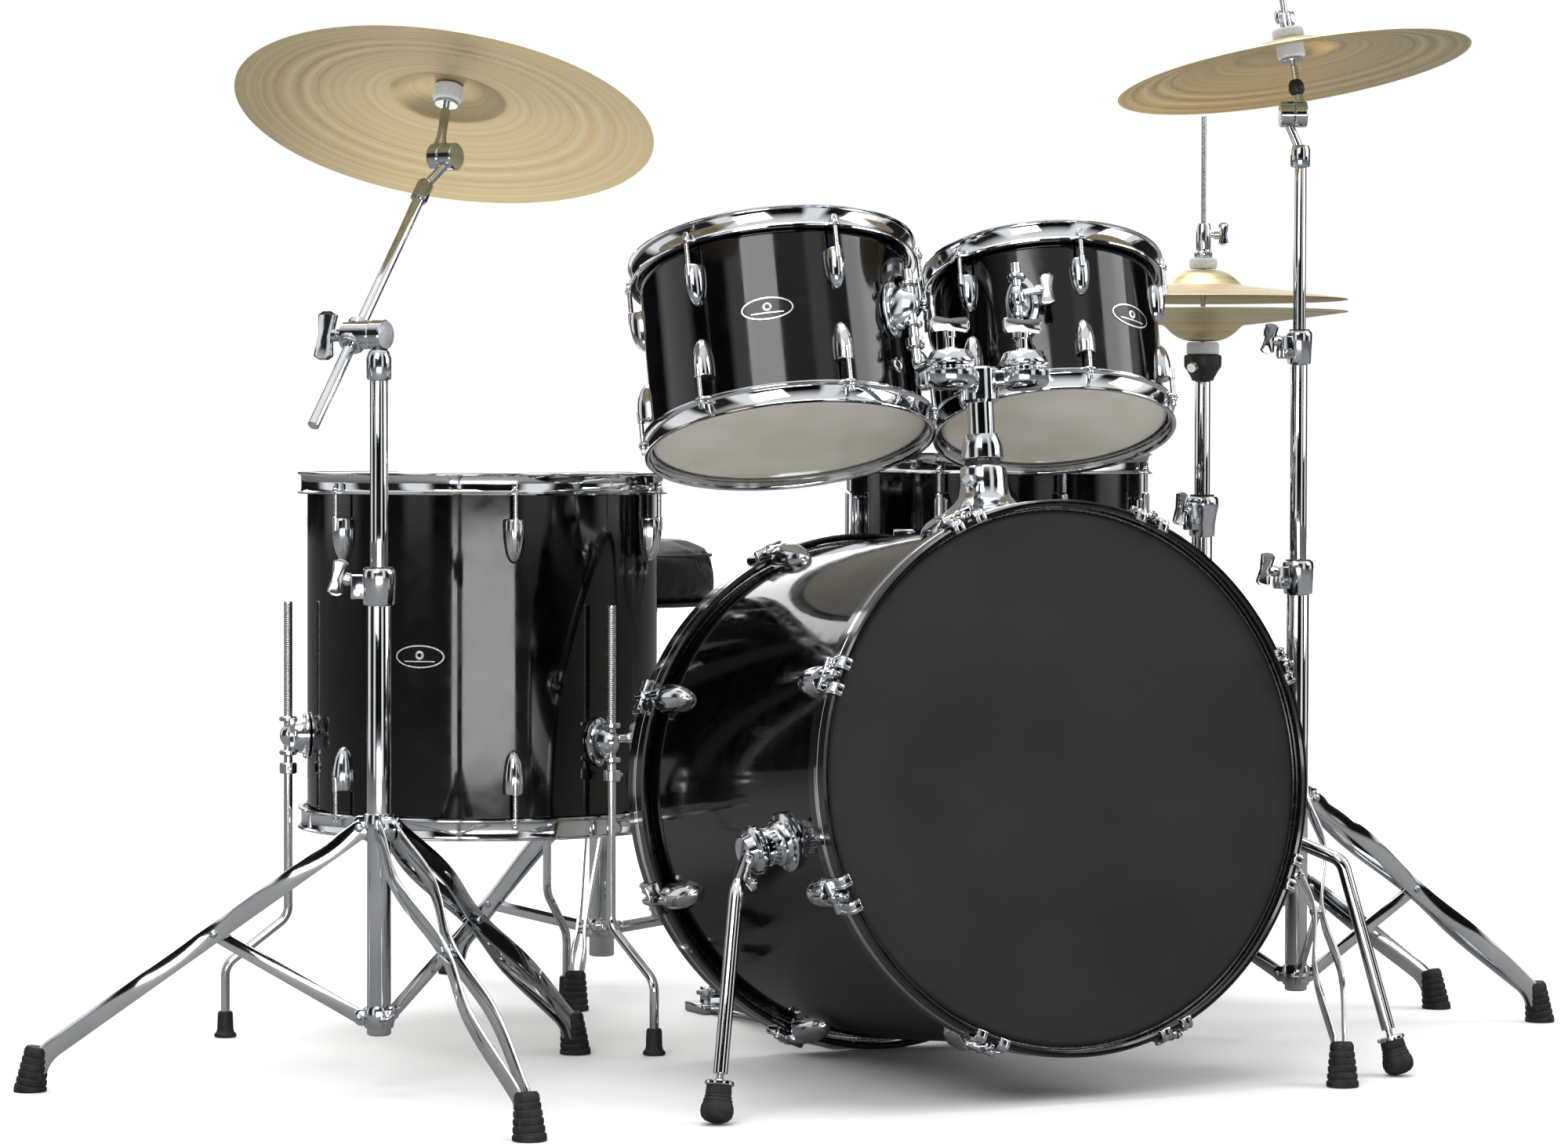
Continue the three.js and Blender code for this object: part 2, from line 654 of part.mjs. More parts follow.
piece('boom_stand_tube', [
  post(middleTube, boomClampTop - 170, boomHinge - 20),
  post(middleTube + 3, boomHinge - 44, boomHinge - 18, 8),
  post(middleTube - 4, boomHinge - 30, boomHinge - 4, 6),
  bar(sideAt(-9), sideAt(6), 16, 14),
], 'chrome', boomStand);
const armMid = sideAt(boomOffset);
const armAt = (d) => armMid.clone().addScaledVector(boomLean, d);
const boomClamp = join([
  bar(sideAt(6 + fit), sideAt(boomOffset + 12), 15, 12),
  bar(armAt(-16), armAt(16), 13, 12),
  bar(sideAt(boomOffset + 10), sideAt(boomOffset + 34), 5, 6),
  strip(sideAt(boomOffset + 31).add(v(0, 0, 19)), sideAt(boomOffset + 31).add(v(0, 0, -19)), 10, 7),
]);
piece('boom_clamp', cut(boomClamp, [bar(armAt(-40), armAt(40), boomTube + slideFit - 0.2, 12)]), 'chrome', boomStand);
const boomEnd = armAt(boomUp);
piece('boom_arm', [
  bar(armAt(-boomDown), armAt(boomUp - 38), boomTube, 12),
  bar(armAt(boomUp - 62), armAt(boomUp - 36), boomTube + 3, 12),
  bar(boomEnd.clone().addScaledVector(boomSide, -24), boomEnd.clone().addScaledVector(boomSide, -tilterHalf - slideFit), 15, 12),
  bar(armAt(boomUp - 42), boomEnd.clone().addScaledVector(boomSide, -17).addScaledVector(boomLean, -5), 4.8, 6),
], 'chrome', boomStand);
cymbalOn(
  boomStand,
  { tilter: 'ride_tilter', cymbal: 'ride_cymbal' },
  boomEnd,
  boomSide,
  v(Math.tan(rad(15)), Math.tan(rad(14.9)), 1),
  rideRadius,
  86,
);

// right stand: tripod, two telescoping tubes, tilter and crash cymbal
const straightStand = stand('straight_stand', straightStandPlace);
const lowClampTop = 552;
const highClampTop = 815;
const crashHinge = 1062;
const straightBase = join([
  tripod({ hub: 281, brace: 77, reach: 366, angles: [-115.2, 4.8, 124.8], tube: lowerTube, spread: 20 }),
  post(lowerTube, 60, lowClampTop),
  ...clampAt(lowerTube, lowClampTop - 38, lowClampTop, 178),
]);
piece('straight_stand_base', cut(straightBase, [post(middleTube + slideFit, 100, lowClampTop + 1)]), 'chrome', straightStand);
const middle = join([
  post(middleTube, lowClampTop - 170, highClampTop - 10),
  ...clampAt(middleTube, highClampTop - 38, highClampTop, 178),
]);
piece('straight_stand_middle_tube', cut(middle, [post(upperTube + slideFit, 420, highClampTop + 1)]), 'chrome', straightStand);
const crashSide = v(0.894, -0.448, 0);
const crashAt = v(0, 0, crashHinge);
piece('straight_stand_top_tube', [
  post(upperTube, highClampTop - 190, crashHinge - 38),
  post(upperTube + 4, crashHinge - 58, crashHinge - 34),
  bar(crashAt.clone().addScaledVector(crashSide, -24), crashAt.clone().addScaledVector(crashSide, -tilterHalf - slideFit), 15, 12),
  bar(v(0, 0, crashHinge - 42), crashAt.clone().addScaledVector(crashSide, -18.5).add(v(0, 0, -5)), 4.8, 6),
], 'chrome', straightStand);
cymbalOn(
  straightStand,
  { tilter: 'crash_tilter', cymbal: 'crash_cymbal' },
  crashAt,
  crashSide,
  v(Math.tan(rad(-4.8)), Math.tan(rad(9.5)), 1),
  crashRadius,
  86,
);

// hi-hat: tripod with tube and base frame, seat tube, pull rod with clutch, two cymbals and a footboard
const hihat = stand('hihat', hihatPlace);
const hihatClampTop = 622;
const hihatSeat = 812;
const pullRod = 3;
const pedalHeading = 135;
const hihatBase = join([
  tripod({ hub: 236, brace: 84, reach: 295, angles: [-45, 75, 195], tube: lowerTube, spread: 15 }),
  post(lowerTube, 46, hihatClampTop),
  ...clampAt(lowerTube, hihatClampTop - 50, hihatClampTop, 200),
  strip(polar(-16, pedalHeading, 52), polar(34, pedalHeading, 52), 30, 14),
  ...[1, -1].map((side) => strip(
    polar(24, pedalHeading, 47).add(polar(side * 13, pedalHeading + 90)),
    polar(330, pedalHeading, 6).add(polar(side * 30, pedalHeading + 90)),
    6,
    7,
  )),
  strip(polar(318, pedalHeading, 6), polar(372, pedalHeading, 6), 80, 12),
  ...[1, -1].map((side) => strip(
    polar(330, pedalHeading, 20).add(polar(side * 26, pedalHeading + 90)),
    polar(350, pedalHeading, 20).add(polar(side * 26, pedalHeading + 90)),
    8,
    22,
  )),
]);
piece('hihat_base', cut(hihatBase, [
  post(middleTube + slideFit, 100, hihatClampTop + 1),
  post(pullRod + 2.5, 20, 110),
  bar(polar(340, pedalHeading, 24).add(polar(-60, pedalHeading + 90)), polar(340, pedalHeading, 24).add(polar(60, pedalHeading + 90)), 3.6, 12),
]), 'chrome', hihat);
const seatTube = join([
  post(middleTube, 440, hihatSeat - 24),
  turned([[0, hihatSeat - 46], [13, hihatSeat - 46], [23, hihatSeat - 30], [23, hihatSeat - 16], [0, hihatSeat - 16]], 16),
  post(20, hihatSeat - 17, hihatSeat - fit, 16),
]);
piece('hihat_seat_tube', cut(seatTube, [post(pullRod + 2.5, 400, 900)]), 'chrome', hihat);
const hatRise = 16;
const hatBell = 20;
const bottomRim = hihatSeat + hatRise + hatBell + cymbalThickness;
const hatGap = 14;
const topRim = bottomRim + hatGap;
const topBell = topRim + hatRise + hatBell;
piece('hihat_bottom_cymbal', [
  cymbalShape(hihatRadius, hatRise, 48, hatBell, -1).translate(0, 0, bottomRim),
], 'bronze', hihat);
piece('hihat_top_cymbal', [
  cymbalShape(hihatRadius, hatRise, 48, hatBell).translate(0, 0, topRim),
], 'bronze', hihat);
piece('hihat_pull_rod', [
  post(pullRod, 34, 1090, 8),
  post(15, topBell - 8, topBell - 4 * fit, 10),
  post(17, topBell + cymbalThickness + 2 * fit, topBell + 15, 10),
  post(9, topBell + 12, topBell + 58, 10),
  bar(v(0, 0, topBell + 46), v(26, -13, topBell + 46), 3, 6),
], 'chrome', hihat);
const hatToe = polar(44, pedalHeading, 76);
const hatHeel = polar(340, pedalHeading, 24);
const across = polar(1, pedalHeading + 90);
piece('hihat_footboard', [
  strip(hatToe, hatHeel.clone().lerp(hatToe, 0.065), 74, 6),
  strip(hatHeel.clone().lerp(hatToe, 0.1), hatHeel, 38, 6),
  bar(hatHeel.clone().addScaledVector(across, -21), hatHeel.clone().addScaledVector(across, 21), 9, 12),
  bar(hatHeel.clone().addScaledVector(across, -38), hatHeel.clone().addScaledVector(across, 38), 3, 12),
], 'chrome', hihat);

// throne: tripod with tube, post and round padded seat
const throne = stand('throne', thronePlace);
const throneTube = 15.9;
const thronePost = 12;
const throneClampTop = 380;
const seatRadius = 150;
const seatBottom = 484;
const seatThickness = 77;
const throneBase = join([
  tripod({ hub: 262, brace: 74, reach: 245, angles: [118, 238, 358], tube: throneTube, spread: 10, pinchBrace: 0.74 }),
  post(throneTube, 40, throneClampTop),
  ...clampAt(throneTube, throneClampTop - 38, throneClampTop, 60),
]);
piece('throne_base', cut(throneBase, [post(thronePost + slideFit, 90, throneClampTop + 1)]), 'chrome', throne);
piece('throne_post', [
  post(thronePost, throneClampTop - 200, seatBottom - 24),
  post(26, seatBottom - 32, seatBottom - 14, 16),
], 'chrome', throne);
piece('throne_seat', [
  turned([
    [0, seatBottom - 14 + fit],
    [70, seatBottom - 14 + fit],
    [70, seatBottom],
    [seatRadius - 12, seatBottom],
    [seatRadius, seatBottom + 12],
    [seatRadius, seatBottom + seatThickness - 14],
    [seatRadius - 16, seatBottom + seatThickness],
    [0, seatBottom + seatThickness],
  ], 28),
], 'vinyl', throne);

// kick pedal at the drummer's side of the bass drum
const pedal = stand('kick_pedal', v(0, 0, 0));
const hoopBottomBack = (bassOverall / 2) * Math.cos(bassTilt) - bassHoopRadius * Math.sin(bassTilt);
const frameFront = hoopBottomBack + 5;
const axleAt = v(0, frameFront + 78, 165);
const heelAt = v(0, frameFront + 372, 24);
const beaterReach = 150;
const beaterLean = rad(40);
const frameParts = [
  new THREE.BoxGeometry(96, 96, 8).translate(0, frameFront + 48, 6),
  new THREE.BoxGeometry(44, 26, 7).translate(0, frameFront + 10, 15.5),
  new THREE.BoxGeometry(86, 54, 12).translate(0, heelAt.y, 6),
];
frameParts.push(new THREE.BoxGeometry(30, 12, 12).translate(0, frameFront + 12, 8));
for (const side of [1, -1]) {
  frameParts.push(new THREE.BoxGeometry(9, 22, 176).translate(side * 42, axleAt.y, 90));
  frameParts.push(strip(v(side * 20, frameFront + 90, 6), v(side * 30, heelAt.y - 10, 6), 7, 7));
  frameParts.push(new THREE.BoxGeometry(8, 22, 26).translate(side * 28, heelAt.y, 22));
}
piece('kick_pedal_frame', cut(join(frameParts), [
  bar(axleAt.clone().add(v(-70, 0, 0)), axleAt.clone().add(v(70, 0, 0)), 5.7, 12),
  bar(heelAt.clone().add(v(-70, 0, 0)), heelAt.clone().add(v(70, 0, 0)), 3.6, 12),
]), 'chrome', pedal);
const toeAt = v(0, axleAt.y + 24, 92);
piece('kick_footboard', [
  strip(toeAt, heelAt.clone().lerp(toeAt, 0.065), 72, 6),
  strip(heelAt.clone().lerp(toeAt, 0.1), heelAt, 40, 6),
  bar(heelAt.clone().add(v(-23, 0, 0)), heelAt.clone().add(v(23, 0, 0)), 9, 12),
  bar(heelAt.clone().add(v(-40, 0, 0)), heelAt.clone().add(v(40, 0, 0)), 3, 12),
], 'chrome', pedal);
const swing = v(0, Math.sin(beaterLean), Math.cos(beaterLean));
const facing = v(0, -Math.cos(beaterLean), Math.sin(beaterLean));
const beaterAt = axleAt.clone().addScaledVector(swing, beaterReach);
piece('kick_beater', [
  bar(axleAt.clone().add(v(-54, 0, 0)), axleAt.clone().add(v(54, 0, 0)), 5, 12),
  bar(axleAt.clone().add(v(-9, 0, 0)), axleAt.clone().add(v(9, 0, 0)), 20, 12),
  bar(axleAt, beaterAt, 3.5, 8),
  bar(beaterAt.clone().addScaledVector(facing, -24), beaterAt.clone().addScaledVector(facing, 26), 22, 14),
], 'chrome', pedal);

// snare stand: tripod with tube, basket with three arms under the snare's lower hoop
const snareStand = stand('snare_stand', snarePlace.clone().setZ(0));
const snareFloor = snarePlace.z - snareLength / 2 - metalHoopReach;
const snareClampTop = 340;
const snareStandBase = join([
  tripod({ hub: 205, brace: 70, reach: 230, angles: [-6, 114, 234], tube: lowerTube, spread: 12 }),
  post(lowerTube, 54, snareClampTop),
  ...clampAt(lowerTube, snareClampTop - 34, snareClampTop, 75),
]);
piece('snare_stand_base', cut(snareStandBase, [post(middleTube + slideFit, 90, snareClampTop + 1)]), 'chrome', snareStand);
const basketHub = snareFloor - 66;
const basket = [
  post(middleTube, snareClampTop - 150, basketHub + 10),
  post(24, basketHub - 14, basketHub + 14, 12),
];
const basketGrip = snareRadius + spinFit + 4 + fit + metalHoopThickness + fit;
for (let k = 0; k < 3; k += 1) {
  const degrees = 63.2 + 120 * k;
  const elbow = polar(basketGrip + 4, degrees, snareFloor - 9);
  basket.push(strip(polar(16, degrees, basketHub), elbow, 12, 10));
  basket.push(strip(polar(basketGrip - 26, degrees, snareFloor - 6 - fit), polar(basketGrip + 9, degrees, snareFloor - 6 - fit), 16, 12));
  basket.push(block(basketGrip + 5, degrees, snareFloor + 2, [10, 16, 28]));
}
piece('snare_basket', basket, 'chrome', snareStand);

// the kit's box stands with the middle of its underside on the origin
kit.updateMatrixWorld(true);
const box = new THREE.Box3().setFromObject(kit, true);
kit.position.set(-(box.min.x + box.max.x) / 2, -(box.min.y + box.max.y) / 2, -box.min.z);
kit.updateMatrixWorld(true);

export default kit;
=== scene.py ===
import json
from math import atan2, cos, degrees, pi, radians, sin, tan, tau

import bmesh
import bpy
from mathutils import Matrix, Vector


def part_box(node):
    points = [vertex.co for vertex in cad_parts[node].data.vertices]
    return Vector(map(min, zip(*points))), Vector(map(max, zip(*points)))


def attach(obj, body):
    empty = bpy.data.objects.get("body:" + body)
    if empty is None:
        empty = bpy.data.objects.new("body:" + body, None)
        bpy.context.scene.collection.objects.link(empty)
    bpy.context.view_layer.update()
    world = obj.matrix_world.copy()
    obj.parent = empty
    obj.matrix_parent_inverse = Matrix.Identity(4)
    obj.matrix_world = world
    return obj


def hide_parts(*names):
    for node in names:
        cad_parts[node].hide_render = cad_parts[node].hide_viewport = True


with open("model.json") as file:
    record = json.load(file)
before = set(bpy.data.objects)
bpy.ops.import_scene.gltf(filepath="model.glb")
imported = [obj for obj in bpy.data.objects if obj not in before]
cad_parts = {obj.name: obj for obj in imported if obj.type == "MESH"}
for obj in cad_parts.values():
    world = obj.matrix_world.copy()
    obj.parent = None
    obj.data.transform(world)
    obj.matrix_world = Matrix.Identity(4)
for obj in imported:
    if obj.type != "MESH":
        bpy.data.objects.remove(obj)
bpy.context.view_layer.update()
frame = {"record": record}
joints = {joint["name"]: joint for joint in frame["record"]["behaviour"]["joints"]}

# pieces are drawn in millimetres in a frame of their own, then placed in metres
mm = 0.001
zUp = Vector((0, 0, 1))
paints = {}


def softenEdges(bm, width, segments=2, limit=30):
    # rounds every edge that turns more than the limit
    sharp = [e for e in bm.edges if len(e.link_faces) == 2 and e.calc_face_angle(0) > radians(limit)]
    bmesh.ops.bevel(bm, geom=sharp, offset=width, offset_type="OFFSET", segments=segments,
                    profile=0.5, affect="EDGES", clamp_overlap=True, material=-1)


def onlyVerts(geometry):
    return [g for g in geometry if isinstance(g, bmesh.types.BMVert)]


def turnedShape(profile, steps=48, closed=False):
    # an outline of (radius, height) points spun round the Z axis
    bm = bmesh.new()
    points = [bm.verts.new((radius, 0, height)) for radius, height in profile]
    pairs = list(zip(points, points[1:]))
    if closed:
        pairs.append((points[-1], points[0]))
    edges = [bm.edges.new(pair) for pair in pairs]
    bmesh.ops.spin(bm, geom=points + edges, axis=(0, 0, 1), cent=(0, 0, 0), dvec=(0, 0, 0),
                   angle=tau, steps=steps, use_merge=True, use_duplicate=False)
    bmesh.ops.remove_doubles(bm, verts=bm.verts, dist=1e-3)
    bmesh.ops.recalc_face_normals(bm, faces=bm.faces)
    return bm


def rodShape(length, radius, soft=0.6, steps=24, top=None):
    # a round bar from the origin up, with softened ends; top is its radius at the far end
    end = radius if top is None else top
    return turnedShape([(0, 0), (radius - soft, 0), (radius, soft), (end, length - soft), (end - soft, length),
                        (0, length)], steps)


def knurledShape(length, radius, pitch, depth=0.35, steps=16):
    # a round bar with fine rings cut round it
    profile = [(0, 0), (radius - depth, 0)]
    for k in range(int(length / pitch)):
        profile += [(radius, (k + 0.25) * pitch), (radius, (k + 0.6) * pitch),
                    (radius - depth, (k + 0.85) * pitch)]
    return turnedShape(profile + [(radius - depth, length), (0, length)], steps)


def cubeShape(size, soft=0.0, segments=2):
    bm = bmesh.new()
    bmesh.ops.create_cube(bm, size=1)
    bmesh.ops.scale(bm, vec=size, verts=bm.verts)
    if soft:
        softenEdges(bm, soft, segments)
    return bm


def plateShape(outline, thickness, soft=0.0, segments=2):
    # a flat outline given a thickness, half of it on each side of Z = 0
    bm = bmesh.new()
    face = bm.faces.new([bm.verts.new((x, y, -thickness / 2)) for x, y in outline])
    grown = bmesh.ops.extrude_face_region(bm, geom=[face])["geom"]
    bmesh.ops.translate(bm, vec=(0, 0, thickness), verts=onlyVerts(grown))
    bmesh.ops.recalc_face_normals(bm, faces=bm.faces)
    if soft:
        softenEdges(bm, soft, segments)
    return bm


def domeShape(size, flatAt=None, blunt=None, soft=1.0, segments=20):
    # half an egg standing out along +X; blunt cuts its upper end square at that height
    bm = bmesh.new()
    bmesh.ops.create_uvsphere(bm, u_segments=segments, v_segments=segments // 2 + 2, radius=1)
    bmesh.ops.scale(bm, vec=size, verts=bm.verts)
    cuts = [((flatAt or 0, 0, 0), (-1, 0, 0))]
    if blunt is not None:
        cuts.append(((0, 0, blunt), (0, 0, 1)))
    for point, normal in cuts:
        bmesh.ops.bisect_plane(bm, geom=bm.verts[:] + bm.edges[:] + bm.faces[:], plane_co=point,
                               plane_no=normal, clear_outer=True)
        bmesh.ops.holes_fill(bm, edges=[e for e in bm.edges if e.is_boundary], sides=0)
    bmesh.ops.recalc_face_normals(bm, faces=bm.faces)
    softenEdges(bm, soft, 2, 40)
    return bm


def bentRodShape(route, radius, bend, sides=20):
    # a ring pushed along the route and spun round each corner
    route = [Vector(point) for point in route]
    heading = (route[1] - route[0]).normalized()
    bm = bmesh.new()
    ring = bmesh.ops.create_circle(bm, cap_ends=False, radius=radius, segments=sides)["verts"]
    bmesh.ops.transform(bm, matrix=facing(route[0], heading), verts=ring)
    edges = bm.edges[:]
    reached = route[0]
    for i, corner in enumerate(route[1:], 1):
        onward = heading if i == len(route) - 1 else (route[i + 1] - corner).normalized()
        turn = heading.angle(onward)
        step = (corner - reached).length - bend * tan(turn / 2)
        grown = bmesh.ops.extrude_edge_only(bm, edges=edges)["geom"]
        bmesh.ops.translate(bm, vec=heading * step, verts=onlyVerts(grown))
        edges = [g for g in grown if isinstance(g, bmesh.types.BMEdge) and len(g.link_faces) == 1]
        reached = reached + heading * step
        if turn > 0.01:
            axis = heading.cross(onward).normalized()
            centre = reached + axis.cross(heading) * bend
            spun = bmesh.ops.spin(bm, geom=edges, axis=axis, cent=centre, dvec=(0, 0, 0), angle=turn,
                                  steps=max(3, int(degrees(turn) / 7)), use_duplicate=False)["geom_last"]
            edges = [g for g in spun if isinstance(g, bmesh.types.BMEdge)]
            reached = centre + Matrix.Rotation(turn, 3, axis) @ (reached - centre)
            heading = onward
    bmesh.ops.holes_fill(bm, edges=[e for e in bm.edges if e.is_boundary], sides=0)
    bmesh.ops.recalc_face_normals(bm, faces=bm.faces)
    return bm


def at(x=0, y=0, z=0):
    return Matrix.Translation((x, y, z))


def turned(angle, axis="Z"):
    return Matrix.Rotation(radians(angle), 4, axis)


def facing(point, heading):
    # puts the Z axis of a shape along the heading
    return Matrix.Translation(point) @ zUp.rotation_difference(Vector(heading)).to_matrix().to_4x4()


def axesAlong(x, y, z):
    # turns a shape so that its own X, Y and Z lie along the three given directions
    return Matrix((x, y, z)).transposed().to_4x4()


def polar(radius, angle, height=0):
    return Vector((radius * cos(radians(angle)), radius * sin(radians(angle)), height))


def boxCentre(node):
    low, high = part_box(node)
    return (low + high) / 2


def newPiece():
    return {"mesh": bmesh.new(), "paints": []}


def addShape(piece, shape, paint, place=None):
    if paint not in piece["paints"]:
        piece["paints"].append(paint)
    if place is not None:
        bmesh.ops.transform(shape, matrix=place, verts=shape.verts)
        if place.determinant() < 0:
            bmesh.ops.reverse_faces(shape, faces=shape.faces)
    for face in shape.faces:
        face.material_index = piece["paints"].index(paint)
    holder = bpy.data.meshes.new("holder")
    shape.to_mesh(holder)
    shape.free()
    piece["mesh"].from_mesh(holder)
    bpy.data.meshes.remove(holder)


def finishPiece(piece, name, body, nodes=(), place=None, planUv=False, crease=38):
    bm = piece["mesh"]
    if planUv:  # the flat place of every point, for rings and strokes that follow the disc
        layer = bm.loops.layers.uv.new("plan")
        for face in bm.faces:
            for loop in face.loops:
                loop[layer].uv = loop.vert.co.xy / 100
    bmesh.ops.transform(bm, matrix=place or Matrix.Scale(mm, 4), verts=bm.verts)
    mesh = bpy.data.meshes.new(name)
    bm.to_mesh(mesh)
    bm.free()
    for paint in piece["paints"]:
        mesh.materials.append(paints[paint])
    mesh.shade_smooth()
    mesh.set_sharp_from_angle(angle=radians(crease))
    thing = bpy.data.objects.new(name, mesh)
    bpy.context.scene.collection.objects.link(thing)
    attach(thing, body)
    if nodes:
        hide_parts(*nodes)
    return thing


def srgb(code):
    # a hex colour as the linear values that the shader takes
    parts = [int(code[i:i + 2], 16) / 255 for i in (1, 3, 5)]
    return tuple(p / 12.92 if p <= 0.04045 else ((p + 0.055) / 1.055) ** 2.4 for p in parts) + (1,)


def addNode(tree, kind, settings=None, links=None):
    node = tree.nodes.new("ShaderNode" + kind)
    for key, value in (settings or {}).items():
        if key == "stops":
            while len(node.color_ramp.elements) < len(value):
                node.color_ramp.elements.new(0.5)
            for element, (spot, colour) in zip(node.color_ramp.elements, value):
                element.position = spot
                element.color = srgb(colour)
        elif isinstance(key, int) or key in node.inputs:
            node.inputs[key].default_value = value
        else:
            setattr(node, key, value)
    for key, source in (links or {}).items():
        tree.links.new(source, node.inputs[key])
    return node


def newPaint(name, settings):
    material = bpy.data.materials.new(name)
    material.use_nodes = True
    tree = material.node_tree
    shader = tree.nodes["Principled BSDF"]
    for key, value in settings.items():
        shader.inputs[key].default_value = value
    paints[name] = material
    return tree, shader, addNode(tree, "TexCoord").outputs["Object"]


def colourFrom(tree, shader, fac, stops):
    ramp = addNode(tree, "ValToRGB", {"stops": stops}, {"Fac": fac})
    tree.links.new(ramp.outputs["Color"], shader.inputs["Base Color"])
    return ramp


def roughnessFrom(tree, shader, fac, low, high):
    spread = addNode(tree, "MapRange", {"To Min": low, "To Max": high, "From Min": 0.3, "From Max": 0.7},
                     {"Value": fac})
    tree.links.new(spread.outputs["Result"], shader.inputs["Roughness"])


def reliefFrom(tree, shader, height, strength, depth):
    bump = addNode(tree, "Bump", {"Strength": strength, "Distance": depth}, {"Height": height})
    tree.links.new(bump.outputs["Normal"], shader.inputs["Normal"])
    return bump


def makeChromePlate():
    # bright chrome over polished steel tube: mirror, faint smudges where hands grip it
    tree, shader, coords = newPaint("chromePlate", {"Metallic": 1.0})
    smudge = addNode(tree, "TexNoise", {"Scale": 14.0, "Detail": 5.0}, {"Vector": coords})
    colourFrom(tree, shader, smudge.outputs["Fac"], [(0.3, "#CED1D4"), (0.7, "#E3E5E7")])
    roughnessFrom(tree, shader, smudge.outputs["Fac"], 0.035, 0.1)
    peel = addNode(tree, "TexNoise", {"Scale": 160.0, "Detail": 2.0}, {"Vector": coords})
    reliefFrom(tree, shader, peel.outputs["Fac"], 0.12, 0.00006)


def makeChromeCast():
    # chromed zinc die casting: softer edges and a slight orange peel under the plating
    tree, shader, coords = newPaint("chromeCast", {"Metallic": 1.0})
    smudge = addNode(tree, "TexNoise", {"Scale": 30.0, "Detail": 4.0}, {"Vector": coords})
    colourFrom(tree, shader, smudge.outputs["Fac"], [(0.3, "#C6CACE"), (0.7, "#DDDFE2")])
    roughnessFrom(tree, shader, smudge.outputs["Fac"], 0.06, 0.15)
    peel = addNode(tree, "TexNoise", {"Scale": 220.0, "Detail": 3.0}, {"Vector": coords})  # 4 to 5 mm ripples
    reliefFrom(tree, shader, peel.outputs["Fac"], 0.25, 0.0001)


def makeZincSteel():
    # bright zinc on rods, screws and springs: greyer and duller than chrome, with fine turning lines
    tree, shader, coords = newPaint("zincSteel", {"Metallic": 1.0})
    grain = addNode(tree, "TexNoise", {"Scale": 400.0, "Detail": 3.0}, {"Vector": coords})
    colourFrom(tree, shader, grain.outputs["Fac"], [(0.35, "#A9ACB0"), (0.65, "#CDD0D3")])
    roughnessFrom(tree, shader, grain.outputs["Fac"], 0.18, 0.32)
    reliefFrom(tree, shader, grain.outputs["Fac"], 0.2, 0.00005)


def makeBlackWrap():
    # glossy black plastic wrap glued round the shell: deep black, very slightly wavy, fine wipe marks
    tree, shader, coords = newPaint("blackWrap", {"Coat Weight": 0.15, "Coat Roughness": 0.03, "IOR": 1.5,
                                                  "Specular IOR Level": 0.42})
    dust = addNode(tree, "TexNoise", {"Scale": 45.0, "Detail": 6.0}, {"Vector": coords})
    colourFrom(tree, shader, dust.outputs["Fac"], [(0.4, "#020203"), (0.75, "#060607")])
    roughnessFrom(tree, shader, dust.outputs["Fac"], 0.05, 0.12)
    wave = addNode(tree, "TexNoise", {"Scale": 9.0, "Detail": 1.0}, {"Vector": coords})  # 110 mm swells
    reliefFrom(tree, shader, wave.outputs["Fac"], 0.25, 0.0012)


def makeBlackLacquer():
    # black lacquer over a maple hoop: gloss with the wood's long grain faintly showing
    tree, shader, coords = newPaint("blackLacquer", {"Coat Weight": 0.4, "Coat Roughness": 0.06, "IOR": 1.5})
    spread = addNode(tree, "Mapping", {"Scale": (1.0, 7.0, 1.0)}, {"Vector": coords})
    grain = addNode(tree, "TexNoise", {"Scale": 60.0, "Detail": 5.0}, {"Vector": spread.outputs["Vector"]})
    colourFrom(tree, shader, grain.outputs["Fac"], [(0.35, "#060607"), (0.7, "#101012")])
    roughnessFrom(tree, shader, grain.outputs["Fac"], 0.12, 0.22)
    reliefFrom(tree, shader, grain.outputs["Fac"], 0.15, 0.0001)


def makeSealedPly(name, spreadScale):
    # sealed pale hardwood ply inside a shell: cream veneer with grain running round the drum
    tree, shader, coords = newPaint(name, {"IOR": 1.45, "Specular IOR Level": 0.35})
    spread = addNode(tree, "Mapping", {"Scale": spreadScale}, {"Vector": coords})
    grain = addNode(tree, "TexNoise", {"Scale": 22.0, "Detail": 8.0, "Distortion": 0.6},
                    {"Vector": spread.outputs["Vector"]})
    colourFrom(tree, shader, grain.outputs["Fac"], [(0.3, "#CDBE9B"), (0.5, "#DDD1B2"), (0.72, "#E9E0C8")])
    roughnessFrom(tree, shader, grain.outputs["Fac"], 0.42, 0.58)
    reliefFrom(tree, shader, grain.outputs["Fac"], 0.3, 0.0002)


def makeClearFilm():
    # clear polyester head: see-through, with a soft sheen and a few rub marks; its pale cream haze is partly
    # the film's own and partly painted light, standing in for the brightly lit inside of the drum
    tree, shader, coords = newPaint("clearFilm", {"Alpha": 0.42, "IOR": 1.6, "Specular IOR Level": 0.5})
    haze_and_painted_light = addNode(tree, "TexNoise", {"Scale": 12.0, "Detail": 4.0}, {"Vector": coords})
    # pale cream at 0.42 alpha: painted light for the lit inside of the drum seen through the head, over the
    # film's real haze
    colourFrom(tree, shader, haze_and_painted_light.outputs["Fac"], [(0.3, "#E6E2D6"), (0.7, "#F7F5EF")])
    roughnessFrom(tree, shader, haze_and_painted_light.outputs["Fac"], 0.05, 0.16)
    reliefFrom(tree, shader, haze_and_painted_light.outputs["Fac"], 0.1, 0.0006)


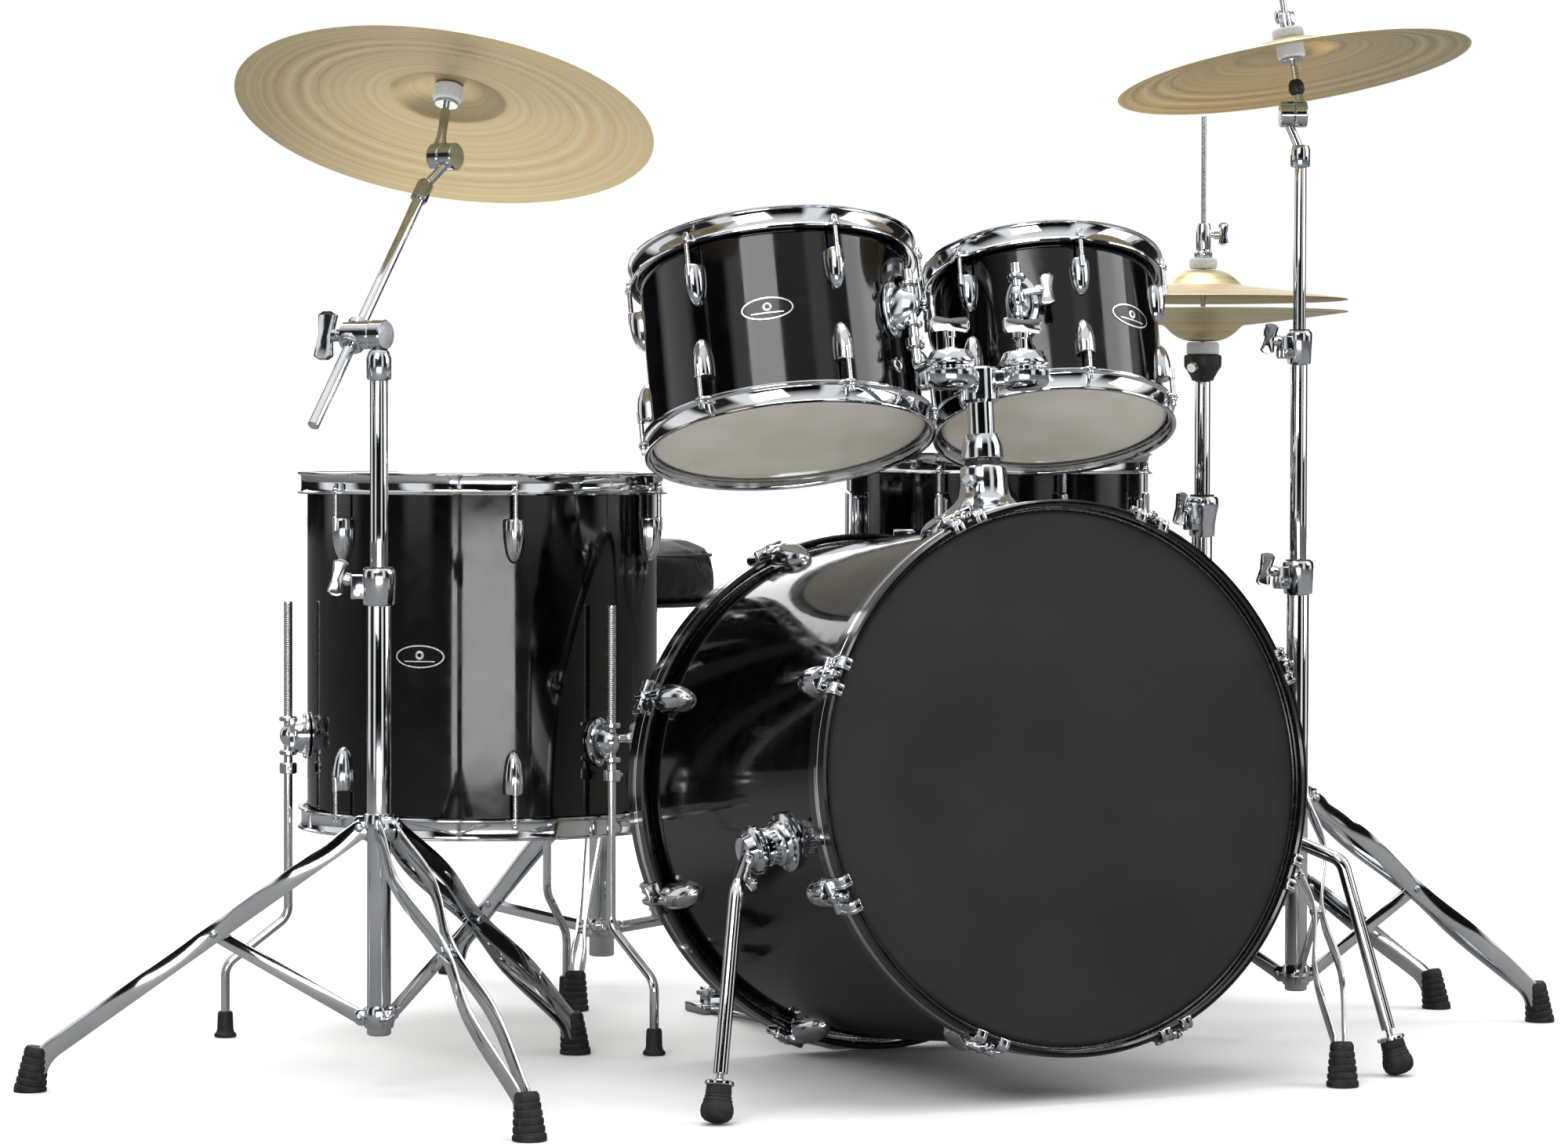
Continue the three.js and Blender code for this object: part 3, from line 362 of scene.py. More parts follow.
def makeBlackFilm():
    # satin black front head: charcoal film with a fine pebble that breaks up reflections
    tree, shader, coords = newPaint("blackFilm", {"IOR": 1.5, "Specular IOR Level": 0.35})
    cloud = addNode(tree, "TexNoise", {"Scale": 7.0, "Detail": 4.0}, {"Vector": coords})
    colourFrom(tree, shader, cloud.outputs["Fac"], [(0.3, "#151517"), (0.7, "#1B1B1D")])
    roughnessFrom(tree, shader, cloud.outputs["Fac"], 0.5, 0.6)
    pebble = addNode(tree, "TexNoise", {"Scale": 900.0, "Detail": 2.0}, {"Vector": coords})  # about 1 mm
    reliefFrom(tree, shader, pebble.outputs["Fac"], 0.25, 0.0001)


def makeCoatedFilm():
    # white sprayed coating on a batter head: dry grit, greyed by sticks round the middle
    tree, shader, coords = newPaint("coatedFilm", {"IOR": 1.45, "Specular IOR Level": 0.3})
    plan = addNode(tree, "UVMap", {"uv_map": "plan"})
    reach = addNode(tree, "VectorMath", {"operation": "LENGTH"}, {0: plan.outputs["UV"]})
    strokes = addNode(tree, "TexNoise", {"Scale": 90.0, "Detail": 8.0}, {"Vector": coords})
    worn = addNode(tree, "Math", {"operation": "MULTIPLY_ADD", 1: 0.8},
                   {0: strokes.outputs["Fac"], 2: reach.outputs["Value"]})
    colourFrom(tree, shader, worn.outputs["Value"], [(0.42, "#B9B7B0"), (0.75, "#CBC9C2"), (1.0, "#D6D4CD")])
    roughnessFrom(tree, shader, strokes.outputs["Fac"], 0.6, 0.75)
    grit = addNode(tree, "TexNoise", {"Scale": 1100.0, "Detail": 3.0}, {"Vector": coords})  # under 1 mm
    reliefFrom(tree, shader, grit.outputs["Fac"], 0.5, 0.00012)


def makeCymbalBronze():
    # lathed cymbal bronze, pale champagne: fine tonal grooves that fan the light out
    tree, shader = newPaint("cymbalBronze", {"Metallic": 0.85, "Anisotropic": 0.35})[:2]
    plan = addNode(tree, "UVMap", {"uv_map": "plan"})
    reach = addNode(tree, "VectorMath", {"operation": "LENGTH"}, {0: plan.outputs["UV"]})
    broad = addNode(tree, "TexNoise", {"noise_dimensions": "1D", "Scale": 9.0, "Detail": 5.0},
                    {"W": reach.outputs["Value"]})
    colourFrom(tree, shader, broad.outputs["Fac"], [(0.3, "#BFA97C"), (0.5, "#CDBB93"), (0.7, "#DACBA8")])
    roughnessFrom(tree, shader, broad.outputs["Fac"], 0.26, 0.4)
    # grooves 1.2 mm apart, coarser than the real ones so that they show
    turns = addNode(tree, "Math", {"operation": "MULTIPLY", 1: 520.0}, {0: reach.outputs["Value"]})
    groove = addNode(tree, "Math", {"operation": "SINE"}, {0: turns.outputs["Value"]})
    reliefFrom(tree, shader, groove.outputs["Value"], 0.22, 0.00012)


def makeMouldedRubber():
    # black moulded rubber: dull, grey where the floor has scuffed it
    tree, shader, coords = newPaint("mouldedRubber", {"IOR": 1.5, "Specular IOR Level": 0.4})
    scuff = addNode(tree, "TexNoise", {"Scale": 120.0, "Detail": 6.0}, {"Vector": coords})
    colourFrom(tree, shader, scuff.outputs["Fac"], [(0.45, "#111112"), (0.8, "#2A2A2B")])
    roughnessFrom(tree, shader, scuff.outputs["Fac"], 0.55, 0.8)
    reliefFrom(tree, shader, scuff.outputs["Fac"], 0.4, 0.0002)


def makeBlackNylon():
    # moulded black nylon bushes and cups: even satin
    tree, shader, coords = newPaint("blackNylon", {"IOR": 1.5})
    grain = addNode(tree, "TexNoise", {"Scale": 500.0, "Detail": 2.0}, {"Vector": coords})
    colourFrom(tree, shader, grain.outputs["Fac"], [(0.3, "#141415"), (0.7, "#1D1D1F")])
    roughnessFrom(tree, shader, grain.outputs["Fac"], 0.38, 0.5)
    reliefFrom(tree, shader, grain.outputs["Fac"], 0.15, 0.00008)


def makeGreyFelt():
    # pressed wool felt: soft grey with loose fibres
    tree, shader, coords = newPaint("greyFelt", {"Sheen Weight": 0.5, "Sheen Roughness": 0.6,
                                                 "Specular IOR Level": 0.1})
    fibre = addNode(tree, "TexNoise", {"Scale": 650.0, "Detail": 8.0, "Distortion": 1.5}, {"Vector": coords})
    colourFrom(tree, shader, fibre.outputs["Fac"], [(0.3, "#8E8F91"), (0.7, "#C3C4C5")])
    roughnessFrom(tree, shader, fibre.outputs["Fac"], 0.85, 0.98)
    reliefFrom(tree, shader, fibre.outputs["Fac"], 0.9, 0.0006)


def makeBlackVinyl():
    # embossed black vinyl over foam: leather-like pebbles 2 mm across, shinier on their tops
    tree, shader, coords = newPaint("blackVinyl", {"IOR": 1.48, "Specular IOR Level": 0.45})
    pebble = addNode(tree, "TexVoronoi", {"Scale": 480.0, "Randomness": 0.9}, {"Vector": coords})
    tone = addNode(tree, "TexNoise", {"Scale": 18.0, "Detail": 5.0}, {"Vector": coords})
    colourFrom(tree, shader, tone.outputs["Fac"], [(0.3, "#0E0E0F"), (0.7, "#19191B")])
    roughnessFrom(tree, shader, tone.outputs["Fac"], 0.36, 0.52)
    reliefFrom(tree, shader, pebble.outputs["Distance"], 0.55, 0.0004)


def makeInkedBadge(name, low, high, rough):
    # printed metal badge and its pale ink
    tree, shader, coords = newPaint(name, {"Metallic": 0.6, "Coat Weight": 0.3})
    grain = addNode(tree, "TexNoise", {"Scale": 350.0, "Detail": 2.0}, {"Vector": coords})
    colourFrom(tree, shader, grain.outputs["Fac"], [(0.3, low), (0.7, high)])
    roughnessFrom(tree, shader, grain.outputs["Fac"], rough, rough + 0.1)


for makeFinish in (makeChromePlate, makeChromeCast, makeZincSteel, makeBlackWrap, makeBlackLacquer):
    makeFinish()
makeSealedPly("sealedPly", (1.0, 1.0, 6.0))
makeSealedPly("bassPly", (1.0, 6.0, 1.0))  # the bass drum lies on its side
for makeFinish in (makeClearFilm, makeBlackFilm, makeCoatedFilm, makeCymbalBronze, makeMouldedRubber,
                   makeBlackNylon, makeGreyFelt, makeBlackVinyl):
    makeFinish()
makeInkedBadge("badgeSilver", "#C4C7CA", "#E4E6E8", 0.2)
makeInkedBadge("badgeBlack", "#0A0A0B", "#121214", 0.15)
print("finishes:", len(paints))


drums = {
    "bass_drum": {"radius": 279.4, "length": 457, "lugs": 8, "firstLug": 22.5, "heads": ("front", "batter"),
                  "films": ("blackFilm", "clearFilm"), "ply": "bassPly", "wall": 8, "body": "frame",
                  "casing": {"start": 32, "tall": 58, "wide": 34, "deep": 21, "rodAt": 17.1}},
    "large_tom": {"radius": 152.4, "length": 205, "lugs": 6, "firstLug": 28.5, "body": "large_tom",
                  "badge": 238.5, "casing": {"start": 38, "tall": 46, "wide": 23, "deep": 15.5, "rodAt": 12.7}},
    "small_tom": {"radius": 127, "length": 180, "lugs": 6, "firstLug": 18, "body": "small_tom", "badge": 288,
                  "casing": {"start": 34, "tall": 42, "wide": 23, "deep": 12.2, "rodAt": 12.1}},
    "floor_tom": {"radius": 203.2, "length": 389, "lugs": 6, "firstLug": 17, "body": "frame", "badge": 227,
                  "casing": {"start": 40, "tall": 50, "wide": 25, "deep": 15.5, "rodAt": 12.7}},
    "snare": {"radius": 177.8, "length": 128, "lugs": 8, "firstLug": 40.7, "body": "snare", "badge": 243.2,
              "casing": {"start": 36, "tall": 56, "wide": 20, "deep": 15.5, "rodAt": 12.7, "single": True}},
}
metalHoop = {"inside": 4.9, "sheet": 2.3, "tall": 25, "reach": 12}
woodHoop = {"inside": 4.9, "thick": 7.0, "tall": 38, "reach": 12, "inlay": 7}


def drumPlace(name):
    # the drum's own frame: middle of the shell, Z along its axis towards the upper or front head
    top, bottom = (boxCentre(f"{name}_{head}_head") for head in drums[name].get("heads", ("batter", "reso")))
    turn = zUp.rotation_difference(top - bottom).to_matrix().to_4x4()
    return Matrix.Translation((top + bottom) / 2) @ turn @ Matrix.Scale(mm, 4)


def lugAngles(size):
    return [size["firstLug"] + k * 360 / size["lugs"] for k in range(size["lugs"])]


def ringShape(inner, outer, low, high, soft=0.8, steps=96):
    return turnedShape([(inner + soft, low), (outer - soft, low), (outer, low + soft), (outer, high - soft),
                        (outer - soft, high), (inner + soft, high), (inner, high - soft), (inner, low + soft)],
                       steps, closed=True)


def casingShape(casing):
    # cast lug: blunt where the rod goes in, rounded away below it
    tall = casing["tall"]
    return domeShape((casing["deep"], casing["wide"] / 2, tall * 0.75), -1, tall * 0.25, 1.4)


def wrapRound(bm, radius):
    # bends a flat shape, drawn in Y and Z with X outward, round a shell of that radius
    low, high = min(v.co.y for v in bm.verts), max(v.co.y for v in bm.verts)
    for k in range(1, 12):
        bmesh.ops.bisect_plane(bm, geom=bm.verts[:] + bm.edges[:] + bm.faces[:],
                               plane_co=(0, low + (high - low) * k / 12, 0), plane_no=(0, 1, 0))
    for v in bm.verts:
        reach, angle = radius + v.co.x, v.co.y / radius
        v.co.x, v.co.y = reach * cos(angle), reach * sin(angle)
    return bm


def ovalOutline(wide, tall, count=32):
    return [(wide / 2 * cos(tau * k / count), tall / 2 * sin(tau * k / count)) for k in range(count)]


def addBadge(piece, radius, angle, wide=58, tall=26):
    # plain oval vent badge: silver rim, black field, one bar and an eyelet
    flat = Matrix(((0, 0, 1, 0), (1, 0, 0, 0), (0, 1, 0, 0), (0, 0, 0, 1)))
    for grow, lift, paint in ((0, 0.5, "badgeSilver"), (-3.4, 0.8, "badgeBlack")):
        plate = plateShape(ovalOutline(wide + grow, tall + grow), 1.0)
        bmesh.ops.transform(plate, matrix=at(lift, 0, 0) @ flat, verts=plate.verts)
        addShape(piece, wrapRound(plate, radius), paint, turned(angle))
    bar = cubeShape((1, wide * 0.62, 1.3))
    bmesh.ops.translate(bar, vec=(1.2, 0, -5.4), verts=bar.verts)
    addShape(piece, wrapRound(bar, radius), "badgeSilver", turned(angle))
    eyelet = turnedShape([(2.4, 0), (4.6, 0.4), (5.2, 1.3), (4.4, 2.2), (3.0, 2.4), (2.4, 1.8)], 28,
                         closed=True)
    addShape(piece, eyelet, "badgeSilver", turned(angle) @ at(radius, 0, 1.5) @ turned(90, "Y"))


def addScrew(piece, place, radius=4.5, paint="zincSteel"):
    head = [(0, 0), (radius + 1.6, 0), (radius + 1.6, 1), (radius, 1), (radius * 0.92, 2.4),
            (radius * 0.5, 3.4), (0, 3.6)]
    addShape(piece, turnedShape(head, 20), paint, place)


def makeShell(name, place, extra=()):
    size = drums[name]
    radius, edge, wall = size["radius"], size["length"] / 2, size.get("wall", 7)
    casing = size["casing"]
    ply = size.get("ply", "sealedPly")
    shell = newPiece()
    addShape(shell, ringShape(radius - 0.6, radius, 3.2 - edge, edge - 3.2, 0.2, 160), "blackWrap")
    tube = turnedShape([(radius - 0.7, 3.2 - edge), (radius - 2.4, -edge), (radius - wall, wall - 2.4 - edge),
                        (radius - wall, edge - wall + 2.4), (radius - 2.4, edge), (radius - 0.7, edge - 3.2)],
                       160, closed=True)
    addShape(shell, tube, ply)
    fittings = newPiece()
    for angle in lugAngles(size):
        for end in ((1,) if casing.get("single") else (1, -1)):
            blunt = edge - casing["start"]
            side = Matrix.Diagonal((1, 1, end, 1))
            where = turned(angle) @ side @ at(radius, 0, blunt - casing["tall"] * 0.25)
            sleeve = casing["tall"] * 0.34
            if casing.get("single"):  # a tube lug that spans the shell
                block = cubeShape((casing["deep"] - 3, casing["wide"] - 3, casing["tall"] * 0.86), 4.5, 4)
                addShape(fittings, block, "chromeCast", turned(angle) @ at(radius + casing["deep"] / 2 - 3))
                addShape(fittings, rodShape(2 * blunt, 4.6, 1.2), "chromePlate",
                         turned(angle) @ at(radius + casing["rodAt"], 0, -blunt))
            else:
                addShape(fittings, casingShape(casing), "chromeCast", where)
                addShape(fittings, rodShape(sleeve, casing["rodAt"] * 0.3, 1.2), "chromePlate",
                         turned(angle) @ side @ at(radius + casing["rodAt"], 0, blunt - sleeve + 2))
            screwHeight = end * (blunt - casing["tall"] * 0.45)
            addScrew(shell, turned(angle) @ at(radius - wall + 0.3, 0, screwHeight) @ turned(-90, "Y"))
    if "badge" in size:
        addBadge(shell, radius, size["badge"])
    for build in extra:
        build(shell, fittings)
    finishPiece(shell, f"{name}_shell_skin", size["body"], [f"{name}_shell"], place)
    finishPiece(fittings, f"{name}_casings", size["body"], (), place)


def makeHead(name, place, head, end, film):
    size = drums[name]
    radius, edge = size["radius"], size["length"] / 2 + 0.4
    over = [(0, edge), (radius * 0.5, edge), (radius - 14, edge), (radius - 5, edge + 0.5),
            (radius - 2, edge + 0.3), (radius + 0.6, edge - 1.4),
            (radius + 2, edge - 7)]
    under = [(max(r - 0.3, 0), z - 0.3) for r, z in reversed(over)]
    flip = Matrix.Diagonal((1, 1, end, 1))
    skin = newPiece()
    addShape(skin, turnedShape(over + under, 128), film, flip)
    addShape(skin, ringShape(radius + 0.9, radius + 4.4, edge - 9, edge - 3.4, 0.9, 96), "zincSteel", flip)
    finishPiece(skin, f"{name}_{head}_skin", size["body"], [f"{name}_{head}_head"], place, planUv=True)


def addKeyRod(piece, radius, angle, flip, ear, foot):
    # square-headed tension rod: washer and head over the ear, shaft down to the casing
    where = turned(angle) @ flip @ at(radius, 0, ear)
    addShape(piece, rodShape(1.2, 5.2, 0.3, 20), "zincSteel", where)
    addShape(piece, rodShape(3.4, 4.0, 0.8, 20), "chromePlate", where @ at(0, 0, 1.2))
    addShape(piece, cubeShape((4.8, 4.8, 7), 0.7), "chromePlate", where @ at(0, 0, 7.2))
    addShape(piece, rodShape(ear - foot, 2.7, 0.4, 16), "zincSteel", where @ at(0, 0, foot - ear))


def makeMetalHoop(name, place, head, end):
    # triple-flanged steel hoop: rolled lip, upright wall and a lower flange that widens into ears
    size = drums[name]
    inner = size["radius"] + metalHoop["inside"]
    sheet, top = metalHoop["sheet"], size["length"] / 2 + metalHoop["reach"]
    low = top - metalHoop["tall"]
    rodReach = size["radius"] + size["casing"]["rodAt"]
    flip = Matrix.Diagonal((1, 1, end, 1))
    hoop = newPiece()
    wall = turnedShape([(inner, low), (inner + 4.6, low - 0.3), (inner + 6.4, low + 0.2),
                        (inner + 6.6, low + 1.6), (inner + 4.8, low + sheet), (inner + sheet + 0.9, low + 3.4),
                        (inner + sheet, low + 6), (inner + sheet, top - 6), (inner + sheet + 0.8, top - 3.6),
                        (inner + 5.4, top - 2.8), (inner + 6.4, top - 1.8), (inner + 6.2, top - 0.5),
                        (inner + 4.6, top), (inner + 1.8, top - 0.3), (inner + 0.3, top - 2.0),
                        (inner, top - 4.5)], 144, closed=True)
    addShape(hoop, wall, "chromePlate", flip)
    grip = turnedShape([(size["radius"] + 2.6, size["length"] / 2 + 1.8),
                        (inner + 0.4, size["length"] / 2 + 1.8),
                        (inner + 0.4, size["length"] / 2 + 3.6),
                        (size["radius"] + 2.6, size["length"] / 2 + 3.2)],
                       96, closed=True)
    addShape(hoop, grip, "chromePlate", flip)
    lip = rodReach + 4.4 - inner
    half = [(1, 21), (3.5, 15), (6.2, 10.5), (lip - 3.6, 7.2), (lip - 1.2, 5.2), (lip, 2.2)]
    ear = [(x, -y) for x, y in half] + [(x, y) for x, y in reversed(half)]
    for angle in lugAngles(size):
        addShape(hoop, plateShape(ear, sheet, 0.7), "chromePlate",
                 turned(angle) @ flip @ at(inner, 0, low + sheet / 2))
        addKeyRod(hoop, rodReach, angle, flip, low + sheet, size["length"] / 2 - size["casing"]["start"] + 1)
    finishPiece(hoop, f"{name}_{head}_rim", size["body"], [f"{name}_{head}_hoop"], place)


def addClaw(piece, angle, flip, inner, outer, top, rodReach, foot):
    # cast claw: two ribbed prongs hooked over the hoop, a bridge behind them that takes the rod
    tip = inner - 1.5
    hook = [(outer + 0.6, top - 21), (outer + 4.8, top - 23), (outer + 5.6, top - 6), (outer + 4.4, top + 1.2),
            (outer + 0.4, top + 4), (tip + 1, top + 3.8), (tip, top + 2.4), (tip, top - 2.6),
            (tip + 1.8, top - 2.8), (tip + 2.2, top + 0.5), (outer - 0.6, top + 0.6),
            (outer + 0.6, top - 1)]
    stand = Matrix(((1, 0, 0, 0), (0, 0, -1, 0), (0, 1, 0, 0), (0, 0, 0, 1)))
    for side in (1, -1):
        where = turned(angle) @ flip
        addShape(piece, plateShape(hook, 12.5, 1.0), "chromeCast", where @ at(0, side * 14, 0) @ stand)
        for rib in (-3.4, 3.4):
            rise = [(x + (0.9 if x > outer - 1 else 0), z + (0.8 if z > top + 1 else 0)) for x, z in hook]
            addShape(piece, plateShape(rise, 2.4, 0.6), "chromeCast", where @ at(0, side * 14 + rib, 0) @ stand)
    where = turned(angle) @ flip
    bridge = rodReach + 6 - outer
    addShape(piece, cubeShape((bridge, 36, 7), 1.8, 3), "chromeCast",
             where @ at(outer + bridge / 2 - 0.5, 0, top - 20))
    addShape(piece, rodShape(10, 7, 1.2), "chromeCast", where @ at(rodReach, 0, top - 24))
    addShape(piece, rodShape(14, 4.9, 1.0), "chromePlate", where @ at(rodReach, 0, top - 15))
    addShape(piece, cubeShape((5, 5, 7), 0.8), "chromePlate", where @ at(rodReach, 0, top + 2))
    addShape(piece, rodShape(top - 24 - foot, 3.2, 0.4, 16), "zincSteel", where @ at(rodReach, 0, foot))
    addShape(piece, rodShape(24, 4.9, 0.8, 6), "chromePlate", where @ at(rodReach, 0, top - 48))


def makeWoodHoop(name, place, head, end):
    size = drums[name]
    inner = size["radius"] + woodHoop["inside"]
    outer = inner + woodHoop["thick"]
    top = size["length"] / 2 + woodHoop["reach"]
    low, middle = top - woodHoop["tall"], top - woodHoop["tall"] / 2
    flip = Matrix.Diagonal((1, 1, end, 1))
    hoop = newPiece()
    addShape(hoop, ringShape(inner, outer, low, top, 2.2, 192), "blackLacquer", flip)
    inlay = woodHoop["inlay"] / 2
    band = ringShape(outer - 1, outer + 0.35, middle - inlay, middle + inlay, 0.2, 192)
    addShape(hoop, band, "chromePlate", flip)
    for angle in lugAngles(size):
        addClaw(hoop, angle, flip, inner, outer, top, size["radius"] + size["casing"]["rodAt"],
                size["length"] / 2 - size["casing"]["start"])
    finishPiece(hoop, f"{name}_{head}_rim", size["body"], [f"{name}_{head}_hoop"], place)


def wingShape(span, tall, thick):
    # cast wing: tapered tips with a shallow hollow on both faces
    half, rim = span / 2, tall / 2
    outline = [(half, rim * 0.45), (half * 0.86, rim), (half * 0.3, rim * 0.82), (0, rim * 0.7),
               (-half * 0.3, rim * 0.82), (-half * 0.86, rim),
               (-half, rim * 0.45)]
    outline += [(x, -y) for x, y in reversed(outline)]
    bm = plateShape(outline, thick)
    broad = [face for face in bm.faces if abs(face.normal.z) > 0.9]
    bmesh.ops.inset_region(bm, faces=broad, thickness=tall * 0.12, depth=0)
    for face in broad:
        bmesh.ops.translate(bm, vec=face.normal * -thick * 0.2, verts=face.verts)
    softenEdges(bm, 0.8, 2, 35)
    return bm


def addWing(piece, point, outward, along, reach=20, span=38, tall=15, paint="chromeCast"):
    # wing bolt: stem out from the point, wings lying along the given direction
    outward, along = Vector(outward).normalized(), Vector(along).normalized()
    across = outward.cross(along).normalized()
    along = across.cross(outward)
    basis = axesAlong(along, outward, across)
    point = Vector(point)
    addShape(piece, rodShape(reach, 4.6, 0.8, 20), "chromePlate", facing(point, outward))
    addShape(piece, rodShape(8, 6.6, 1.2, 20), paint, facing(point + outward * (reach - 9), outward))
    addShape(piece, wingShape(span, tall, 6.5), paint,
             Matrix.Translation(point + outward * (reach + tall / 2 - 3)) @ basis)


def bracketExtra(radius, angle, height, rodAt, tall=66, wingTurn=90):
    # oval cast bracket on the shell with a wing bolt and a memory lock's seat
    def build(shell, fittings):
        where = turned(angle) @ at(radius, 0, height)
        plate = plateShape(ovalOutline(tall, 38), 4, 1.0)
        addShape(fittings, plate, "chromeCast", where @ at(2.2, 0, 0) @ turned(90, "Y"))
        addShape(fittings, domeShape((rodAt + 10, 14.5, tall * 0.4), 1, None, 1.2, 28), "chromeCast", where)
        for end in (1, -1):
            addShape(fittings, rodShape(6, 10.5, 1.4), "chromeCast",
                     where @ at(rodAt, 0, end * tall * 0.36 - 3))
            addScrew(fittings, where @ at(3.8, 0, end * tall * 0.43) @ turned(90, "Y"), 3)
        middle = polar(radius + rodAt, angle, height + 4)
        aside = polar(1, angle + wingTurn)
        addWing(fittings, middle + aside * 8, aside, (0, 0, 1), 22, 36, 15)
    return build


def eyeletExtra(radius, angle, height):
    def build(shell, fittings):
        ring = turnedShape([(5, 0), (8.2, 0.2), (8.6, 1.2), (7.2, 2.4), (5.6, 2.2), (5, 1.2)], 32, closed=True)
        addShape(fittings, ring, "chromePlate", turned(angle) @ at(radius, 0, height) @ turned(90, "Y"))
        addShape(fittings, rodShape(0.8, 5.4, 0.2), "blackNylon",
                 turned(angle) @ at(radius, 0, height) @ turned(90, "Y"))
    return build


strainer = {"angle": 25.7, "size": (19, 30, 62), "butt": (12, 32, 36)}


def strainerExtra(shell, fittings):
    # throw-off casting on one side, with its tension knob, and the plain butt clamp across the drum
    radius, (deep, wide, tall) = drums["snare"]["radius"], strainer["size"]
    side = turned(strainer["angle"])
    addShape(fittings, cubeShape((deep, wide, tall), 4.5, 4), "chromeCast",
             side @ at(radius + deep / 2 - 1.5, 0, 4))
    addShape(fittings, cubeShape((4, wide + 8, tall - 12), 1.2), "chromeCast", side @ at(radius + 1.4, 0, 4))
    addShape(fittings, knurledShape(9, 6.5, 1.5, 0.5, 24), "chromePlate",
             side @ at(radius + deep * 0.55, 0, 34))
    far = turned(strainer["angle"] + 180)
    addShape(fittings, cubeShape(strainer["butt"], 3.5, 4), "chromeCast", far @ at(radius + 5, 0, -32))
    for x in (-8, 8):
        addScrew(fittings, far @ at(radius + 10.6, x, -32) @ turned(90, "Y"), 3)


places = {name: drumPlace(name) for name in drums}
tomArms = {
    "large_tom": {"bracket": 298.5, "side": -1, "rodOut": 26, "rod": 5.5, "bend": 12},
    "small_tom": {"bracket": 228, "side": 1, "rodOut": 26, "rod": 5.5, "bend": 12},
}
for name, arm in tomArms.items():
    radius = drums[name]["radius"]
    makeShell(name, places[name], [bracketExtra(radius, arm["bracket"], 6, arm["rodOut"]),
                                   eyeletExtra(radius, arm["bracket"], -58)])
floorLegs = {"first": 47, "out": 24, "height": -98, "spread": 300, "top": 500, "knee": 138, "ankle": 82,
             "rod": 5.2, "thread": 178, "bend": 24, "end": 12, "lock": -44}
floorRadius = drums["floor_tom"]["radius"]
makeShell("floor_tom", places["floor_tom"],
          [bracketExtra(floorRadius, floorLegs["first"] + 120 * k, floorLegs["height"], floorLegs["out"], 54)
           for k in range(3)])
makeShell("snare", places["snare"], [strainerExtra])
for name in drums:
    heads = drums[name].get("heads", ("batter", "reso"))
    films = drums[name].get("films", ("coatedFilm", "clearFilm"))
    for head, end, film in zip(heads, (1, -1), films):
        makeHead(name, places[name], head, end, film)
        if name == "bass_drum":
            makeWoodHoop(name, places[name], head, end)
        else:
            makeMetalHoop(name, places[name], head, end)
print("drum heads and hoops done")


def makeFloorLeg(number):
    degreesRound = floorLegs["first"] + 120 * (number - 1)
    out = floorRadius + floorLegs["out"]
    base = places["floor_tom"].translation.copy()
    base.z = 0
    place = Matrix.Translation(base) @ Matrix.Scale(mm, 4)
    leg = newPiece()
    spread, rod = floorLegs["spread"], floorLegs["rod"]
    threadLow = polar(out, degreesRound, floorLegs["top"] - floorLegs["thread"])
    route = [threadLow, polar(out, degreesRound, floorLegs["knee"]),
             polar(spread, degreesRound, floorLegs["ankle"]), polar(spread, degreesRound, floorLegs["end"])]
    addShape(leg, bentRodShape(route, rod, floorLegs["bend"]), "chromePlate")
    addShape(leg, knurledShape(floorLegs["thread"], rod, 2.4), "zincSteel", at(*threadLow))
    addShape(leg, rodShape(2.5, rod, 0.8), "chromePlate", at(*polar(out, degreesRound, floorLegs["top"] - 1)))
    foot = turnedShape([(0, 0), (11.6, 0), (12.8, 1), (12.6, 3.4), (10.4, 5.4), (9.4, 9), (8.8, 26),
                        (8.2, 28.6), (7, 29.4), (0, 29.4)], 36)
    addShape(leg, foot, "mouldedRubber", at(*polar(spread, degreesRound)))
    collar = ringShape(rod + 0.4, rod + 5, 0, 13, 1.2, 32)
    low = places["floor_tom"].translation.z / mm + floorLegs["height"] + floorLegs["lock"]
    addShape(leg, collar, "chromeCast", at(*polar(out, degreesRound, low)))
    addShape(leg, rodShape(9, 2.6, 0.6, 16), "zincSteel",
             facing(polar(out, degreesRound, low + 6.5), polar(1, degreesRound + 90)) @ at(0, 0, 7))
    finishPiece(leg, f"floor_tom_leg_rod_{number}", f"floor_leg_{number}", [f"floor_tom_leg_{number}"], place)


for number in (1, 2, 3):
    makeFloorLeg(number)


spur = {"angle": 11.25, "station": 116, "arm": 44, "knee": (367, -192, 232), "tip": (413, -240, 0),
        "rod": 7.4, "bend": 20, "rodEnd": 52, "stud": 56, "nut": 44, "foot": 41.4, "footLift": 1.6}
bassPlace = places["bass_drum"]
bassRadius = drums["bass_drum"]["radius"]
kitPlace = Matrix.Translation((bassPlace.translation.x, bassPlace.translation.y, 0)) @ Matrix.Scale(mm, 4)


def spurBracket(shell, fittings):
    # stepped flange, ribbed drum and four screws on each side of the shell
    for degreesRound in (-spur["angle"], 180 + spur["angle"]):
        where = turned(degreesRound) @ at(bassRadius, 0, spur["station"]) @ turned(90, "Y")
        profile = [(0, -3), (30, -3), (31.5, 0), (31.5, 3.4), (29.6, 5), (25, 5.6), (23.6, 7), (22.8, 13),
                   (20.4, 15),
                   (19.2, 17), (19.2, spur["arm"] - 14), (17.6, spur["arm"] - 12.6), (0, spur["arm"] - 12.6)]
        addShape(fittings, turnedShape(profile, 64), "chromeCast", where)
        for k in range(24):
            rib = cubeShape((2.0, 1.6, 9), 0.5)
            addShape(fittings, rib, "chromeCast", where @ turned(15 * k) @ at(19.3, 0, 22))
        for k in range(4):
            addScrew(fittings, where @ turned(45 + 90 * k) @ at(26.5, 0, 4.6), 2.6)


